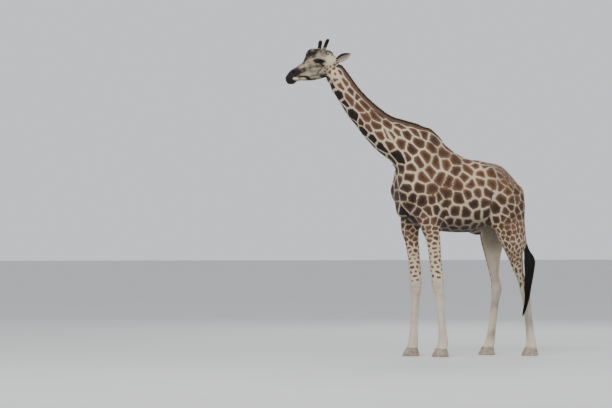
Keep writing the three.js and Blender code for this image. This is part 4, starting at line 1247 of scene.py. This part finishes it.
mane = add_tufts(
    "mane_hair", root, face, way, length, dice.uniform(4.5, 8.0, n), np.zeros(n),
    np.stack([0.05 + 0.9 * pick / mane_steps, 0.5 + 0.4 * side], 1), {}, 0.4)
add_values(mane, {"tip": np.tile((0.0, 0, 0.15, 1.0), n)})
dressed(mane, mane_finish, "mane_hair", "mane")

# ---------------------------------------------------------------------------
# Tail tuft: long coarse black hairs from the last hand's breadth of the tail,
# hanging in locks below the hocks, fullest a third of the way down.
# ---------------------------------------------------------------------------
tuft_rows = table([
    (501, 1406, -280, 5, 5), (539, 1415, -283, 14, 14), (600, 1430, -288, 20, 20),
    (719, 1456, -301, 25, 26), (784, 1461, -307, 33, 33), (848, 1462, -309, 41, 39),
    (912, 1469, -309, 45, 43), (1041, 1490, -300, 54, 48), (1156, 1504, -280, 66, 52),
    (1208, 1511, -268, 71, 52), (1246, 1511, -259, 67, 50), (1298, 1503, -245, 54, 43),
    (1350, 1488, -229, 35, 33), (1440, 1483, -200, 22, 22), (1530, 1488, -164, 18, 17),
])
hair_black = Finish("tail_hair", Specular_IOR_Level=0.2)
strand = hair_black.noise(150, 2, 0.6, (1, 1, 0.1))
hair_black.put(
    Base_Color=hair_black.mixed(strand, tint(8, 7, 6), tint(24, 20, 17)),
    Roughness=0.45 + 0.3 * strand,
)
locks, bends = 1500, 12
top = dice.uniform(1340, 1500, locks)
bottom = 505 + 600 * dice.random(locks) ** 1.5
turn = dice.uniform(0, 2 * math.pi, locks)
out = np.sqrt(dice.uniform(0.03, 1.1, locks))
t = np.linspace(0, 1, bends)[None, :]
z = top[:, None] + (bottom - top)[:, None] * t
x, y, depth, width = (column.reshape(z.shape) for column in read(tuft_rows, z.ravel()))
swing = 0.25 * np.sin(5 * t + turn[:, None]) * t
reach = out[:, None] * np.minimum(1, 0.5 + 2.5 * t)
centre = np.stack([
    x + 0.98 * depth * reach * np.cos(turn[:, None] + swing),
    y + 0.98 * width * reach * np.sin(turn[:, None] + swing), z], -1)
thin = dice.uniform(2.2, 4.4, locks)[:, None] * (1 - t**3 * 0.97)
ring = np.array([(1, 0, 0), (-0.5, 0.87, 0), (-0.5, -0.87, 0)])
points = centre[:, :, None, :] + thin[..., None, None] * ring
tris = np.concatenate([halved(round_the(bends, 3)[:, [0, 3, 2, 1]]), [[0, 1, 2]], [[2, 1, 0]]])
tris[-1] += 3 * bends - 3
faces = (np.arange(locks)[:, None, None] * 3 * bends + tris).reshape(-1, 3)
tuft = new_mesh("tail_hair", points.reshape(-1, 3), faces)
uv = np.stack([turn / 7, 0.1 + 0.8 * out], 1)[:, None, :] + np.stack([0 * t[0], 0.003 * t[0]], 1)
uv = np.repeat(uv, 3, axis=1).reshape(-1, 2)[faces.ravel()].astype(np.float32)
tuft.data.uv_layers.new(name="OFBake").data.foreach_set("uv", uv.ravel())
dressed(tuft, hair_black, "black_hair", "tail_tuft")

# ---------------------------------------------------------------------------
# Hooves: two toes of dull grey-brown horn to each foot, sloping in front,
# flat below, ringed by growth lines and parted by a narrow cleft.
# ---------------------------------------------------------------------------
horn = Finish("hoof", Specular_IOR_Level=0.35)
rings = horn.noise(1.0, 4, 0.6, (14, 14, 160))
mottle = horn.noise(22, 4, 0.6)
grey = horn.mixed(horn.stepped(rings, 0.35, 0.65), tint(168, 154, 134), tint(128, 114, 96))
horn.put(
    Base_Color=horn.mixed(horn.stepped(mottle, 0.45, 0.7) * 0.6, grey, tint(196, 184, 164)),
    Roughness=0.5 + 0.3 * mottle,
    Normal=horn.bump(rings, 0.002, 0.5),
)
hoof_rows = table([
    (0, -112, 88, 76), (3, -117, 91.5, 79.5), (14, -116, 93, 80), (60, -92, 84, 75),
    (104, -68, 70, 66.5), (112, -62, 66, 62),
])
feet = {
    "fore_left": (322, -188), "fore_right": (62, 188),
    "hind_left": (1556, -186), "hind_right": (1106, 186),
}
hoof_levels = np.array([0, 1.2, 4, 9, 16, 26, 38, 50, 62, 74, 86, 96, 103, 108])
hoof_turns = 22
turn = np.linspace(0, math.pi, hoof_turns)
u = np.sign(np.cos(turn)) * np.abs(np.cos(turn)) ** 0.8
v = np.sin(turn) ** 0.62
toe, heel, half = (column[:, None] for column in read(hoof_rows, hoof_levels))
cleft = 3.6 + 2.5 * np.exp(-hoof_levels / 3)[:, None] + np.where(u < 0, 6 * u * u, 0)
forward = (heel + toe) / 2 + (heel - toe) / 2 * u * 0.997
outward = cleft + (half - cleft) * v
sole = closing(hoof_turns)[:, [0, 2, 1]]
crown = (len(hoof_levels) - 1) * hoof_turns + sole[:, ::-1]
faces = np.concatenate([halved(round_the(len(hoof_levels), hoof_turns)), sole, crown])
for name, (x, y) in feet.items():
    for side, place in ((-1, "a"), (1, "b")):
        ring = np.stack([x + forward, y + side * outward, hoof_levels[:, None] + 0 * u], -1)
        toe_piece = new_mesh(f"toe_{name}_{place}", ring.reshape(-1, 3), faces[:, ::side])
        dressed(toe_piece, horn, "hoof", f"hoof_{name}_{place}")

# ---------------------------------------------------------------------------
# Museum floor, soft daylight from above, and the viewer's place: some thirty
# metres off, ahead of the left side, at chest height.
# ---------------------------------------------------------------------------
bpy.ops.mesh.primitive_plane_add(size=400)
floor = bpy.context.object
floor.name = "floor"
pale = Finish("floor", Roughness=0.8)
pale.put(Base_Color=pale.mixed(pale.noise(0.6, 4), tint(196, 196, 194), tint(206, 206, 204)))
floor.data.materials.append(pale.material)

world = bpy.data.worlds.new("daylight")
world.use_nodes = True
world.node_tree.nodes["Background"].inputs[0].default_value = (0.78, 0.80, 0.84, 1)
world.node_tree.nodes["Background"].inputs[1].default_value = 1.05
bpy.context.scene.world = world
for name, place, target, size, power in (
    ("key", (-7, -9, 11), (0, 0, 2), 6, 1300),
    ("fill", (9, -10, 6), (0, 0, 2), 7, 350),
    ("rim", (6, 10, 9), (0, 0, 2), 6, 500),
):
    lamp = bpy.data.lights.new(name, "AREA")
    lamp.size, lamp.energy = size, power
    light = bpy.data.objects.new(name, lamp)
    light.location = place
    light.rotation_euler = (Vector(target) - Vector(place)).to_track_quat("-Z", "Y").to_euler()
    bpy.context.collection.objects.link(light)

lens = bpy.data.cameras.new("camera")
lens.lens = 146.82
lens.clip_end = 500
camera = bpy.data.objects.new("camera", lens)
camera.location = (-10.9187, -30.0702, 1.42)
aim = Vector((-1.265, 0.4343, 1.9523)) - camera.location
camera.rotation_euler = aim.to_track_quat("-Z", "Y").to_euler()
bpy.context.collection.objects.link(camera)
bpy.context.scene.camera = camera
